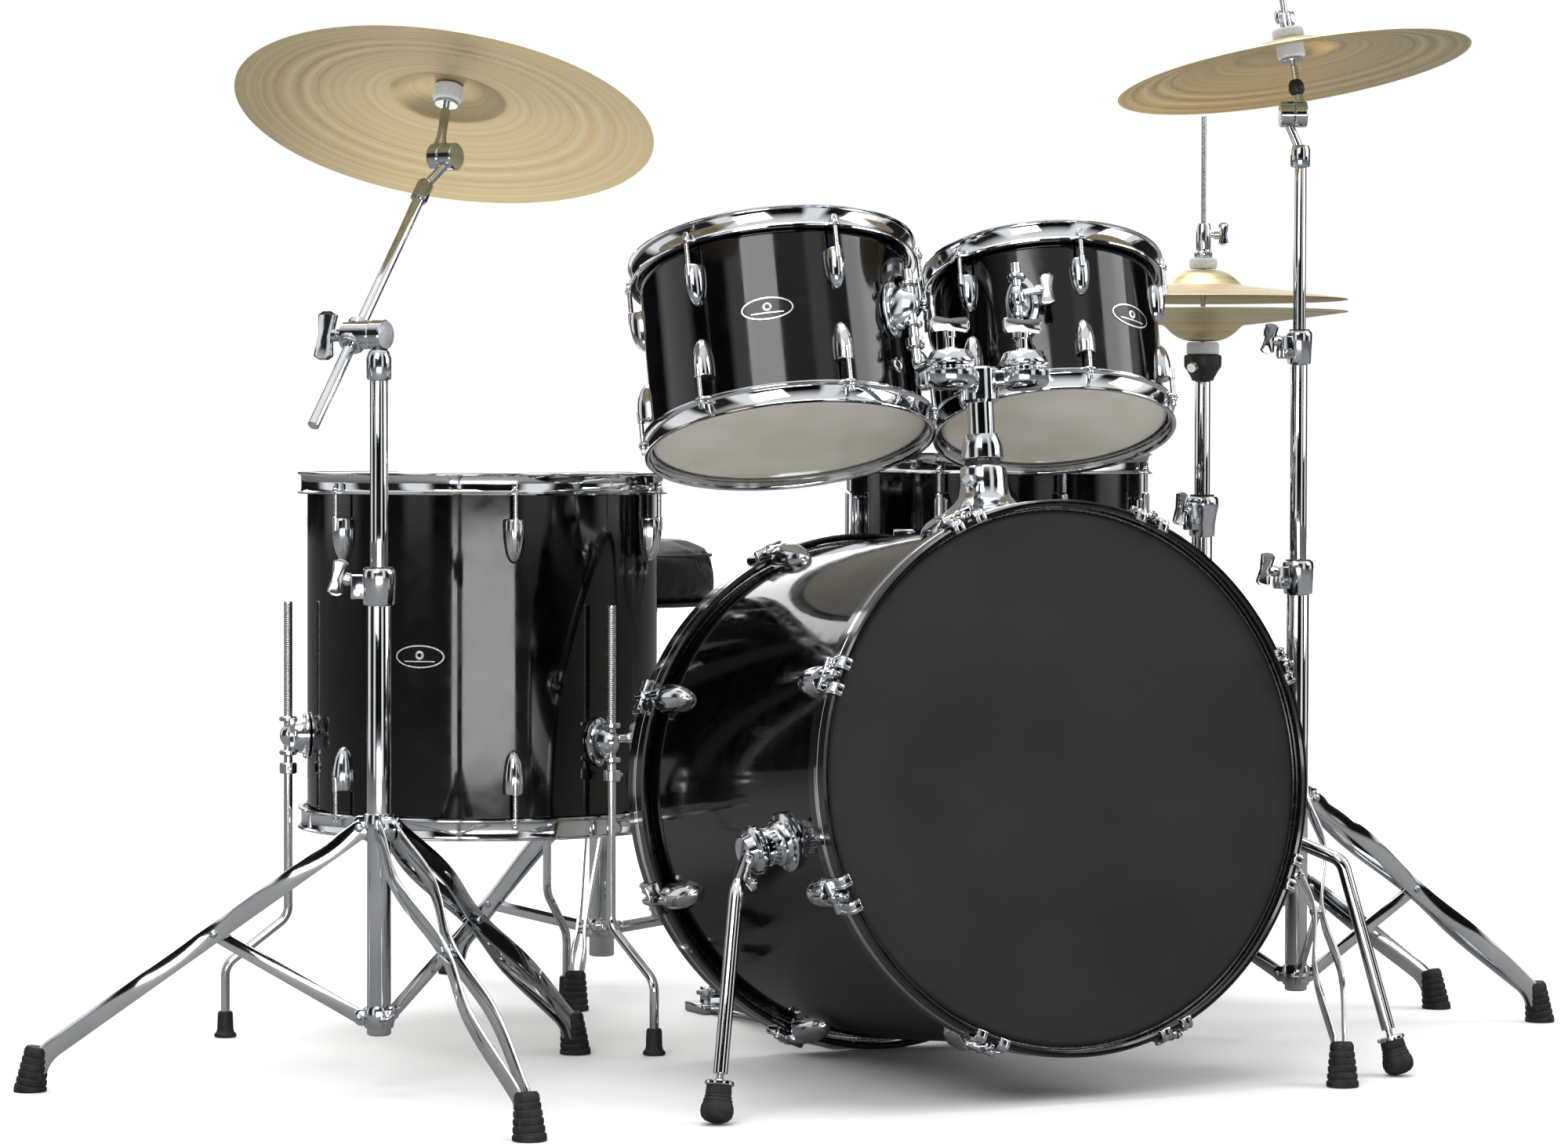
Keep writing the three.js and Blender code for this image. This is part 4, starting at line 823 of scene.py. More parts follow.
def makeSpur(side):
    name, body = ("spur_leg_right", "spur_right") if side > 0 else ("spur_leg_left", "spur_left")
    degreesRound = -spur["angle"] if side > 0 else 180 + spur["angle"]
    inKit = kitPlace.inverted() @ bassPlace
    hinge = inKit @ polar(bassRadius + spur["arm"], degreesRound, spur["station"])
    inner = inKit @ polar(bassRadius + spur["arm"] - 12, degreesRound, spur["station"])
    out = (hinge - inner).normalized()
    knee, tip = (Vector((side * x, y, z)) for x, y, z in (spur["knee"], spur["tip"]))
    down = (tip - knee).normalized()
    leg = newPiece()
    hub = [(0, 0), (17, 0), (24, 1.6), (25.5, 3.6), (25.5, 9), (23.5, 11), (18.5, 12), (17.5, 14.4), (16, 20.6),
           (0, 22)]
    addShape(leg, turnedShape(hub, 64), "chromeCast", facing(inner, out))
    for k in range(20):
        addShape(leg, cubeShape((2.4, 2.2, 4.6), 0.5), "chromeCast",
                 facing(inner, out) @ turned(18 * k) @ at(24.6, 0, 6.3))
    addWing(leg, hinge + out * 4 + Vector((0, 0, -12)), (-side * 0.25, 0.35, -1), (0, 1, 0.25), 15, 34, 14)
    addShape(leg, bentRodShape([hinge.lerp(knee, 0.08), knee, tip - down * spur["rodEnd"]], spur["rod"],
                               spur["bend"], 28), "chromePlate")
    addShape(leg, rodShape(28, 3.6, 0.5), "zincSteel", facing(tip - down * spur["stud"], down))
    addShape(leg, rodShape(4.4, 15, 1), "chromePlate", facing(tip - down * spur["nut"], down))
    rubber = turnedShape([(0, 0), (12.2, 0), (12.6, 1), (13.4, 12), (12.9, 12.8), (14, 15), (13.6, 16),
                          (15, 19), (14.6, 20),
                          (16.6, 25), (17, 30), (15.6, 35.5), (11.8, 39.2), (6.5, 41), (0, spur["foot"])], 44)
    heel = tip - down * spur["foot"] + zUp * spur["footLift"]
    bmesh.ops.transform(rubber, matrix=facing(heel, down), verts=rubber.verts)
    for v in rubber.verts:  # worn flat where it stands
        v.co.z = max(v.co.z, 0)
    addShape(leg, rubber, "mouldedRubber")
    finishPiece(leg, f"{name}_rod", body, [name], kitPlace)


makeShell("bass_drum", bassPlace, [spurBracket])
for side in (1, -1):
    makeSpur(side)


def mountFrame():
    # frame of the tom mount: origin on top of the shell, Z up the post
    low, high = (Vector(joints[f"{tom}_arm_swing"]["pos_m"]) for tom in tomArms)
    up = Vector(joints["tom_holder_height"]["axis"]).normalized()
    right = (high - low).normalized()
    back = up.cross(right)
    turn = axesAlong(right, back, up)
    origin = (low + high) / 2 - back * mount["forward"] * mm - up * mount["hingeHeight"] * mm
    return Matrix.Translation(origin) @ turn @ Matrix.Scale(mm, 4)


mount = {"post": 15, "inside": 80, "under": 146, "thick": 22, "spread": 45, "forward": -20, "hingeHeight": 168}
mountPlace = mountFrame()


def makeMountBase():
    base = newPiece()
    bell = turnedShape([(17, 3), (58, 3), (61, 4.4), (61.5, 6.4), (57, 8.6), (44, 13.2), (34, 19.5), (28.4, 28),
                        (26, 38), (25.4, 46), (25.4, 58), (24.2, 60.6), (22, 62),
                        (16.4, 62)], 96, closed=True)
    # the flange drops at both sides to follow the shell
    for v in bell.verts:
        if v.co.z < 20:
            v.co.z -= (bassRadius - (bassRadius ** 2 - v.co.x ** 2) ** 0.5) * min(1, (20 - v.co.z) / 14) - 1.2
    addShape(base, bell, "chromeCast")
    addShape(base, ringShape(15.6, 20, 60, 67, 1.2, 48), "blackNylon")
    for x, y in ((44, 26), (-44, 26), (44, -26), (-44, -26)):  # screws
        drop = bassRadius - (bassRadius ** 2 - x ** 2) ** 0.5
        addScrew(base, at(x, y, 10.5 - drop) @ turned(x * 0.2, "Y"), 4.2)
    # clamp collar that the post slides through
    collar = [(15.3, 68), (20, 68), (22.6, 70), (22.8, 82), (20.8, 91), (18.6, 95.5), (15.3, 95.5)]
    addShape(base, turnedShape(collar, 56, True), "chromeCast")
    addShape(base, rodShape(20, 8, 1.6, 6), "chromeCast", facing((-18, -12, 44), (-0.75, -0.66, 0)))
    addShape(base, rodShape(8, 5.6, 1, 6), "zincSteel", facing((-33, -25, 44), (-0.75, -0.66, 0)))
    finishPiece(base, "tom_mount_flange", "frame", ["tom_mount_base"], mountPlace)


def makeHolder():
    post, under, thick = mount["post"], mount["under"], mount["thick"]
    holder = newPiece()
    addShape(holder, rodShape(under + mount["inside"], post, 1.2, 48), "chromePlate",
             at(0, 0, -mount["inside"]))
    hub = [(0, under - 16), (17.4, under - 16), (20.4, under - 13), (20.8, under + thick - 2),
           (19, under + thick), (0, under + thick)]
    addShape(holder, turnedShape(hub, 48), "chromeCast")
    for side in (1, -1):
        middle = Vector((side * mount["spread"], mount["forward"], under))
        dish = [(0, -3.5), (17, -3.5), (23, -0.5), (25.4, 2.6), (26.4, 4), (27, 5.2), (27, 15.4), (25.6, 16.8),
                (23.4, 17.2), (23.4, 21),
                (0, 21)]
        addShape(holder, turnedShape(dish, 64), "chromeCast", at(*middle))
        for k in range(24):
            addShape(holder, cubeShape((2, 2.4, 3.6), 0.4), "chromeCast",
                     at(*middle) @ turned(15 * k) @ at(24, 0, 18.8))
        web = Vector((side * mount["spread"], mount["forward"], 0))
        angle = degrees(web.to_2d().angle_signed(Vector((1, 0))))
        addShape(holder, cubeShape((web.length, 25, 17), 3.5, 3), "chromeCast",
                 at(web.x / 2, web.y / 2, under + 9.5) @ turned(angle))
    finishPiece(holder, "tom_holder_casting", "tom_holder", ["tom_holder"], mountPlace)


def makeTomArm(name):
    arm = tomArms[name]
    top, rise = mount["under"] + mount["thick"], mount["under"] + mount["thick"] + 12
    centre = Vector((arm["side"] * mount["spread"], mount["forward"], 0))  # of the disc it turns on
    inMount = mountPlace.inverted() @ places[name]
    rodAt = polar(drums[name]["radius"] + arm["rodOut"], arm["bracket"])
    high, low = inMount @ (rodAt + Vector((0, 0, 46))), inMount @ (rodAt + Vector((0, 0, -40)))
    slope = low - high
    knee = high + slope * ((rise - high.z) / slope.z)
    piece = newPiece()
    cap = [(0, 0.6), (22.4, 0.6), (22.4, 2.2), (26.4, 2.6), (26.8, 4.2), (25.6, 7), (22, 14.6), (20.4, 16),
           (9, 17.4), (7.6, 19), (0, 19)]
    addShape(piece, turnedShape(cap, 64), "chromeCast", at(*centre) @ at(0, 0, top))
    addShape(piece, rodShape(20, 5.2, 0.8), "chromePlate", at(*centre) @ at(0, 0, top + 18))
    addWing(piece, (centre.x, centre.y, top + 22), (0, 0, 1), (1, 0.12, 0), 17, 50, 17)
    run = (knee - centre).to_2d().to_3d().normalized()
    bar = centre + zUp * rise
    start = bar + run * 12
    addShape(piece, bentRodShape([start, knee, high], arm["rod"], arm["bend"], 24), "chromePlate")
    addShape(piece, rodShape(18, 8.6, 1.6), "chromeCast", facing(bar + run * 16, run))
    lock = high.lerp(low, 0.93)
    addShape(piece, ringShape(5.7, 10.4, 0, 12, 1.4, 32), "chromeCast", facing(lock, slope))
    addShape(piece, rodShape(9, 3, 0.7, 16), "zincSteel",
             facing(lock + slope.normalized() * 6, (0.2, -1, 0.1)) @ at(0, 0, 7))
    finishPiece(piece, f"{name}_arm_rod", f"{name}_arm", [f"{name}_arm"], mountPlace)


makeMountBase()
makeHolder()
for name in tomArms:
    makeTomArm(name)
print("bass drum, spurs and tom mount done")

stands = {
    "boom_stand": {"foot": (-635, 116), "tube": 12.7, "hub": 281, "brace": 80, "reach": 369,
                   "legs": (152, 272, 32), "spread": 20},
    "straight_stand": {"foot": (465.5, 49.6), "tube": 12.7, "hub": 281, "brace": 77, "reach": 366,
                       "legs": (-115.2, 4.8, 124.8), "spread": 20},
    "hihat": {"foot": (584, 448), "tube": 12.7, "hub": 236, "brace": 84, "reach": 295, "legs": (-45, 75, 195),
              "spread": 15},
    "snare_stand": {"foot": (297, 458), "tube": 12.7, "hub": 205, "brace": 70, "reach": 230,
                    "legs": (-6, 114, 234), "spread": 12},
    "throne": {"foot": (-34, 878), "tube": 15.9, "hub": 262, "brace": 74, "reach": 245, "legs": (118, 238, 358),
               "spread": 10, "pinch": 0.74},
}
pipes = {"lower": 12.7, "middle": 9.5, "upper": 7.2, "boom": 6.3}
strap = {"tall": 20, "thick": 3.2, "footTop": 34, "over": 11, "bendRun": 32, "bendRadius": 46}
straight = {"lower": (60, 552), "middle": (382, 805), "top": (625, 1022), "clamps": ((514, 552), (777, 815)),
            "clampTurn": 178, "hinge": 1062, "neck": 16}


def standPlace(name):
    return kitPlace @ at(*stands[name]["foot"])


def strapShape(stations, tall, thick, soft=0.7):
    # a flat bar standing on its edge along (x, y) stations
    bm = bmesh.new()
    rings = []
    for k, station in enumerate(stations):
        before, after = Vector(stations[max(k - 1, 0)]), Vector(stations[min(k + 1, len(stations) - 1)])
        aside = (after - before).orthogonal().normalized() * thick / 2
        corners = ((1, -1), (1, 1), (-1, 1), (-1, -1))
        rings.append([bm.verts.new((station[0] + s * aside.x, station[1] + s * aside.y, t * tall / 2))
                      for s, t in corners])
    for low, high in zip(rings, rings[1:]):
        for k in range(4):
            bm.faces.new((low[k], low[(k + 1) % 4], high[(k + 1) % 4], high[k]))
    bm.faces.new(rings[0])
    bm.faces.new(list(reversed(rings[-1])))
    bmesh.ops.recalc_face_normals(bm, faces=bm.faces)
    softenEdges(bm, soft, 2, 40)
    return bm


def bendEnd(bm, start, radius):
    # curls whatever lies past the start downwards, as the leg's end is bent into its foot
    for v in bm.verts:
        if v.co.x > start:
            angle, reach = (v.co.x - start) / radius, radius + v.co.z
            v.co.x, v.co.z = start + reach * sin(angle), reach * cos(angle) - radius


def eased(stops, share):
    # a value that runs smoothly through (share, value) stops
    for (low, start), (high, end) in zip(stops, stops[1:]):
        if share <= high:
            return start + (end - start) * (1 - cos(pi * (share - low) / (high - low))) / 2
    return stops[-1][1]


def addRivet(piece, place, half, radius=4.6, paint="zincSteel"):
    addShape(piece, rodShape(2 * half, radius * 0.66, 0.3, 16), paint, place @ at(0, 0, -half))
    head = [(0, 0), (radius, 0), (radius, 0.6), (radius * 0.8, 1.8), (radius * 0.4, 2.4), (0, 2.6)]
    for end in (1, -1):
        addShape(piece, turnedShape(head, 20), paint,
                 place @ at(0, 0, end * half) @ (turned(0) if end > 0 else turned(180, "X")))


def addTripod(piece, name):
    # two flat bars to a leg, riveted to a top collar, with a brace up from a lower collar
    stand = stands[name]
    tube, hub, brace, reach = stand["tube"], stand["hub"], stand["brace"], stand["reach"]
    pinch = stand.get("pinch", 0.46)
    top, foot = Vector((tube + 2, 0, hub)), Vector((reach - 8, 0, strap["footTop"]))
    run = foot - top
    slope = Matrix.Translation(top) @ Matrix.Rotation(-atan2(run.z, run.x), 4, "Y")
    spread = stand["spread"]
    halves = [(0, 9), (0.2, spread), (pinch, 4.5), (pinch + (1 - pinch) * 0.4, spread * 0.7), (1, 4.5)]
    collar = [(tube + 0.3, -15), (tube + 2.2, -15), (tube + 3.4, -12), (tube + 3.6, 9), (tube + 2.6, 13),
              (tube + 0.3, 14)]
    addShape(piece, turnedShape(collar, 48, True), "chromeCast", at(0, 0, hub))
    lower = [(tube + 0.3, -11), (tube + 2.0, -11), (tube + 3.0, -8), (tube + 3.0, 8), (tube + 2.0, 11),
             (tube + 0.3, 11)]
    addShape(piece, turnedShape(lower, 48, True), "chromeCast", at(0, 0, brace))
    for angle in stand["legs"]:
        way = turned(angle)
        for side in (1, -1):
            full = run.length + strap["over"]
            stations = [(full * k / 60, side * eased(halves, k / 60)) for k in range(61)]
            bar = strapShape(stations, strap["tall"], strap["thick"])
            bendEnd(bar, full - strap["bendRun"], strap["bendRadius"])
            addShape(piece, bar, "chromePlate", way @ slope)
        ear = plateShape(earOutline(12, 13), 13.4, 1.2)
        addShape(piece, ear, "chromeCast", way @ at(tube + 6.5, 0, hub - 1) @ turned(90, "X"))
        addRivet(piece, way @ at(tube + 7, 0, hub - 1) @ turned(90, "X"), 11.4)
        addShape(piece, plateShape(earOutline(10, 9), 6.6, 0.9), "chromeCast",
                 way @ at(tube + 6, 0, brace) @ turned(90, "X"))
        addRivet(piece, way @ at(tube + 8, 0, brace) @ turned(90, "X"), 6.4, 3.6)
        meet = slope @ Vector((run.length * pinch, 0, 0))
        start = Vector((tube + 7, 0, brace))
        link = meet - start
        flat = Matrix.Rotation(-atan2(link.z, link.x), 4, "Y")
        bars = [(0, 0), (link.length * 0.5, 0), (link.length, 0)]
        addShape(piece, strapShape(bars, 15, 4.4), "chromePlate", way @ Matrix.Translation(start) @ flat)
        addRivet(piece, way @ Matrix.Translation(meet) @ turned(90, "X"), 6.6, 4.4)
        addFoot(piece, way, reach)


def earOutline(wide, tall, count=20):
    # a rounded ear: straight at the tube, round at its outer end
    turns = [pi * k / count for k in range(1, count)]
    bulge = [(wide * sin(turn) * 0.8, -tall * cos(turn)) for turn in turns]
    return [(-wide / 2, -tall), (0, -tall)] + bulge + [(0, tall), (-wide / 2, tall)]


def addFoot(piece, way, reach):
    # ribbed rubber foot that leans with the end of the leg and sits flat on the floor
    profile = [(0, -3), (17, -3), (17.4, 1.2), (17.2, 5.4), (15.4, 7), (16.3, 9), (16.2, 13), (14.6, 14.6),
               (15.5, 16.6), (15.4, 20.6), (13.8, 22.2), (14.7, 24.2), (14.6, 28.2), (13.1, 29.8), (13.9, 31.8),
               (13.7, 35.6), (12.4, 37), (13, 39), (12.6, 44), (10.4, 47.4),
               (0, 48)]
    foot = turnedShape(profile, 40)
    bmesh.ops.transform(foot, matrix=facing((reach, 0, 0), (-7, 0, 44)), verts=foot.verts)
    for v in foot.verts:
        v.co.z = max(v.co.z, 0)
    addShape(piece, foot, "mouldedRubber", way)


def addClampCollar(piece, tube, low, high, angle, bulb=False, wing=38):
    # die-cast height clamp: tapered sleeve on a nylon bush, a split ear and a wing bolt
    if bulb:
        sleeve = [(tube + 0.3, low), (tube + 2.2, low), (tube + 2.8, low + 2), (tube + 3.4, low + 16),
                  (tube + 5.8, low + 30), (tube + 7.6, high - 12), (tube + 7.4, high - 4),
                  (tube + 5.4, high - 1), (tube + 0.3, high)]
    else:
        sleeve = [(tube + 0.3, low), (tube + 3.0, low), (tube + 3.8, low + 1.6), (tube + 5, high - 12),
                  (tube + 5.2, high - 5), (tube + 4.6, high - 1.6), (tube + 3.2, high),
                  (tube + 0.3, high)]
    addShape(piece, turnedShape(sleeve, 56, True), "chromeCast")
    addShape(piece, ringShape(tube - 3, tube + 2.2, high - 1, high + 1.6, 0.5, 48), "blackNylon")
    middle = (low + high) / 2
    for side in (1, -1):
        addShape(piece, cubeShape((17, 6.2, (high - low) * 0.68), 1.6, 3), "chromeCast",
                 turned(angle) @ at(tube + 8, side * 4.4, middle))
    addShape(piece, rodShape(20, 4.6, 0.8, 20), "zincSteel",
             turned(angle) @ at(tube + 9, -10, middle - 6) @ turned(-90, "X"))
    addShape(piece, cubeShape((10, 4, 10), 0.9), "zincSteel", turned(angle) @ at(tube + 9, -10.6, middle - 6))
    outward = polar(1, angle, 0.22)
    addWing(piece, polar(tube + 9, angle, middle + 5), outward, (0, 0, 1), 17, wing, 16)


def addTube(piece, radius, low, high, cap=True):
    # drawn tube with a rolled edge at both ends and a nylon plug underneath
    wall = [(radius - 1.6, low), (radius - 0.4, low), (radius, low + 0.6), (radius, high - 0.6),
            (radius - 0.4, high), (radius - 1.6, high)]
    addShape(piece, turnedShape(wall, 56, True), "chromePlate")
    if cap:
        plug = [(0, low - 1), (radius - 2.2, low - 1), (radius - 0.6, low + 0.2), (radius - 1.4, low + 1.5),
                (0, low + 1.5)]
        addShape(piece, turnedShape(plug, 40), "blackNylon")


def addRatchet(piece, hinge, axis, start, end, radius, teethAt=None):
    # round knuckle across the tube, with a ring of fine teeth where the two halves meet
    face = [(0, start), (radius - 1.4, start), (radius, start + 1.4), (radius, end - 1.4), (radius - 1.4, end),
            (radius * 0.6, end), (radius * 0.52, end - 1.2),
            (0, end - 1.2)]
    place = facing(hinge, axis)
    addShape(piece, turnedShape(face, 56), "chromeCast", place)
    for k in range(36 if teethAt is not None else 0):
        addShape(piece, cubeShape((radius * 0.34, 1.1, 1), 0.2, 1), "chromeCast",
                 place @ turned(10 * k) @ at(radius * 0.8, 0, teethAt))


def addFelt(piece, place, low, high, radius, hole=4.0):
    # pressed felt washer with rounded edges
    washer = [(hole, low), (radius - 1.5, low), (radius - 0.3, low + 1.2), (radius, low + 2.6),
              (radius, high - 2.6), (radius - 0.3, high - 1.2), (radius - 1.5, high), (hole, high)]
    addShape(piece, turnedShape(washer, 48, True), "greyFelt", place)


def cymbalShape(radius, bell, rise, dome, hole=6.5, thick=1.5, steps=160):
    # hammered disc: bell, long bow and a thin rim
    under = [(hole + (bell - hole) * k / 12, rise + dome * (1 - (k / 12) ** 2.6)) for k in range(13)]
    under[-1] = (bell + 0.8, rise + 0.5)
    under += [(bell + (radius - bell) * k / 36, rise * (1 - (k / 36) ** 1.1)) for k in range(1, 37)]
    under[-1] = (radius - 0.4, 0.1)
    top = [(r, z + thick * (1 - 0.35 * r / radius)) for r, z in under]
    return turnedShape(top + [(radius, 0.55)] + under[::-1], steps, True)


cymbals = {"ride": {"radius": 228.6, "seat": 86, "spin": 60},
           "crash": {"radius": 203.2, "seat": 86, "spin": 20}}
bow = {"bell": 0.27, "dome": 0.07, "rise": 24}  # bell and dome are shares of the radius
lean = Vector((140, 93.8, 211.6)).normalized()
tiltAxis = Vector(joints["boom_tilt"]["axis"]).normalized()
boom = {"height": 797, "across": 30, "low": -123, "high": 212, "reach": 250, "lower": (62, 552),
        "middle": (382, 777), "clamp": (514, 552), "clampTurn": 150, "collar": 188, "neck": 16}
knuckle = (-24, -8, 15, -7.9)  # start, end, radius and teeth of the half that holds a cymbal tilter


def makeStraight():
    place = standPlace("straight_stand")
    base = newPiece()
    addTripod(base, "straight_stand")
    addTube(base, pipes["lower"], *straight["lower"])
    addClampCollar(base, pipes["lower"], *straight["clamps"][0], straight["clampTurn"])
    finishPiece(base, "straight_stand_tripod", "frame", ["straight_stand_base"], place)
    middle = newPiece()
    addTube(middle, pipes["middle"], *straight["middle"])
    addClampCollar(middle, pipes["middle"], *straight["clamps"][1], straight["clampTurn"], wing=34)
    finishPiece(middle, "straight_stand_middle", "straight_middle", ["straight_stand_middle_tube"], place)
    top, axis = newPiece(), Vector(joints["crash_tilt"]["axis"])
    addTube(top, pipes["upper"], *straight["top"])
    addShape(top, turnedShape([(7.3, 1002), (10.4, 1002), (11.2, 1004), (11.2, 1022), (9.6, 1026), (0, 1028)],
                              40, True), "chromeCast")
    addShape(top, rodShape(42, 5.0, 0.8), "chromeCast",
             facing((0, 0, 1020), zUp * 37 - axis * straight["neck"]))
    addRatchet(top, (0, 0, straight["hinge"]), axis, *knuckle)
    finishPiece(top, "straight_stand_top", "straight_top", ["straight_stand_top_tube"], place)


def makeBoom():
    place = standPlace("boom_stand")
    base = newPiece()
    addTripod(base, "boom_stand")
    addTube(base, pipes["lower"], *boom["lower"])
    addClampCollar(base, pipes["lower"], *boom["clamp"], boom["clampTurn"])
    finishPiece(base, "boom_stand_tripod", "frame", ["boom_stand_base"], place)
    tube = newPiece()
    hinge = Vector((0, 0, boom["height"]))
    addTube(tube, pipes["middle"], *boom["middle"])
    addShape(tube, turnedShape([(9.6, 750), (12, 750), (13, 752), (13.2, 772), (11, 779), (9.6, 781)], 48,
                               True), "chromeCast")
    across = 90 - degrees(Vector((1, 0)).angle_signed(tiltAxis.to_2d()))
    addShape(tube, cubeShape((18, 12, 26), 3, 3), "chromeCast", at(0, 0, 784) @ turned(across))
    addRatchet(tube, hinge, tiltAxis, -9, 6, 16, 6)
    finishPiece(tube, "boom_stand_upright", "boom_tube", ["boom_stand_tube"], place)
    clamp = newPiece()
    addRatchet(clamp, hinge, tiltAxis, 6.6, 42, 15)
    line = hinge + tiltAxis * boom["across"]
    sleeve = ringShape(6.6, 13, -16, 16, 1.4, 48)
    addShape(clamp, sleeve, "chromeCast", facing(line, lean))
    for k in (-10, 10):
        addShape(clamp, ringShape(12.6, 14, k - 2.5, k + 2.5, 0.6, 48), "chromeCast", facing(line, lean))
    addWing(clamp, hinge + tiltAxis * 40, tiltAxis, (0.18, 0.1, 1), 20, 52, 22)
    finishPiece(clamp, "boom_clamp_body", "boom_clamp", ["boom_clamp"], place)
    arm = newPiece()
    start = line + lean * boom["low"]
    addShape(arm, rodShape(boom["high"] - boom["low"], pipes["boom"], 1.2, 32), "chromePlate",
             facing(start, lean))
    addShape(arm, turnedShape([(0, 0), (7.6, 0), (9.3, 1.6), (9.3, 22), (7, 26), (0, 26)], 40), "chromeCast",
             facing(line + lean * boom["collar"], lean))
    end = line + lean * boom["reach"]
    stem = end - tiltAxis * boom["neck"] - lean * 5
    root = line + lean * (boom["high"] - 4)
    addShape(arm, rodShape((stem - root).length, 4.8, 0.6, 24), "chromeCast", facing(root, stem - root))
    addRatchet(arm, end, tiltAxis, *knuckle)
    finishPiece(arm, "boom_arm_rod", "boom_arm", ["boom_arm"], place)
    return place @ end


def makeCymbal(name, hingeWorld):
    # tilter half with its rod, felts and wing nut, then the disc on it
    size = cymbals[name]
    normal = Vector(joints[f"{name}_spin"]["axis"]).normalized()
    axis = Vector(joints[f"{name}_tilt"]["axis"]).normalized()
    seat, radius = size["seat"], size["radius"]
    place = Matrix.Translation(hingeWorld) @ Matrix.Scale(mm, 4)
    up = facing((0, 0, 0), normal)
    tilter = newPiece()
    addRatchet(tilter, (0, 0, 0), axis, -7, 7, 15)
    stem = [(0, 8), (7.5, 8), (7, 16), (5.2, 24), (5, seat - 30), (4, seat - 29), (0, seat - 29)]
    addShape(tilter, turnedShape(stem, 32), "chromeCast", up)
    rod = [(0, seat - 34), (3.4, seat - 34), (3.4, seat + 51), (2.6, seat + 52), (0, seat + 52)]
    addShape(tilter, turnedShape(rod, 24), "zincSteel", up)
    cup = [(3.6, seat - 24), (12.5, seat - 24), (13, seat - 22.5), (12.5, seat - 21), (6.5, seat - 20),
           (3.6, seat - 20)]
    addShape(tilter, turnedShape(cup, 40, True), "chromePlate", up)
    addFelt(tilter, up, seat - 20, seat - 2, 16)
    bush = [(3.5, seat - 3), (6.1, seat - 3), (6.1, seat + 3), (3.5, seat + 3)]
    addShape(tilter, turnedShape(bush, 24, True), "blackNylon", up)
    addFelt(tilter, up, seat + 2.4, seat + 13.6, 18)
    nut = [(0, seat + 13.8), (9, seat + 13.8), (9.4, seat + 15), (7, seat + 16.4), (6.6, seat + 30),
           (5.2, seat + 34), (0, seat + 34)]
    addShape(tilter, turnedShape(nut, 32), "chromeCast", up)
    wing = wingShape(33, 16, 6)
    basis = axesAlong((1, 0, 0), (0, 0, 1), (0, -1, 0))
    addShape(tilter, wing, "chromeCast", up @ at(0, 0, seat + 27) @ turned(size["spin"]) @ basis)
    if name == "crash":
        boot = [(0, 22), (6, 22.4), (8.6, 26), (9.2, 31), (8.2, 36.6), (5.6, 40), (0, 40.4)]
        addShape(tilter, turnedShape(boot, 32), "blackNylon", up)
    finishPiece(tilter, f"{name}_tilter_rod", f"{name}_tilter", [f"{name}_tilter"], place)
    disc = newPiece()
    addShape(disc, cymbalShape(radius, radius * bow["bell"], bow["rise"], radius * bow["dome"]), "cymbalBronze")
    lift = normal * (seat - bow["rise"] - bow["dome"] * radius) * mm
    where = facing(hingeWorld + lift, normal) @ Matrix.Scale(mm, 4)
    finishPiece(disc, f"{name}_disc", f"{name}_cymbal", [f"{name}_cymbal"], where, planUv=True)


hat = {"radius": 178, "bell": 48, "rise": 16, "dome": 20, "thick": 1.3, "bottomRim": 849.6, "topRim": 863.6,
       "heading": 135, "lower": (46, 622), "middle": (440, 788), "clamp": (572, 622), "clampTurn": 200,
       "rod": (34, 1056), "tiltScrew": 215, "heel": (340, 24), "toe": (44, 76), "board": (74, 38)}


def addPedalFrame(piece, where, toe, heelPlate, rods, ears):
    # base plate at the toe, two round bars back to the heel plate, and the heel's bearing ears
    addShape(piece, cubeShape(toe["size"], 1.2, 2), "chromeCast", where @ at(*toe["at"]))
    addShape(piece, cubeShape(heelPlate["size"], 1.4, 2), "chromeCast", where @ at(*heelPlate["at"]))
    rubber = Vector(heelPlate["size"])
    addShape(piece, cubeShape((rubber.x * 0.8, rubber.y * 0.8, 2.4), 0.8), "mouldedRubber",
             where @ at(heelPlate["at"][0], heelPlate["at"][1], 1.2))
    for side in (1, -1):
        start, end = (Vector((x, side * y, z)) for x, y, z in rods["ends"])
        addShape(piece, rodShape((end - start).length, rods["radius"], 0.6, 20), "chromePlate",
                 where @ facing(start, end - start))
        x, y, z = ears["at"]
        addShape(piece, cubeShape(ears["size"], 1.4, 2), "chromeCast", where @ at(x, side * y, z))
        faceY = side * (y + ears["size"][1] / 2)
        addScrew(piece, where @ at(x, faceY, z + 3) @ turned(-90 * side, "X"), 3)


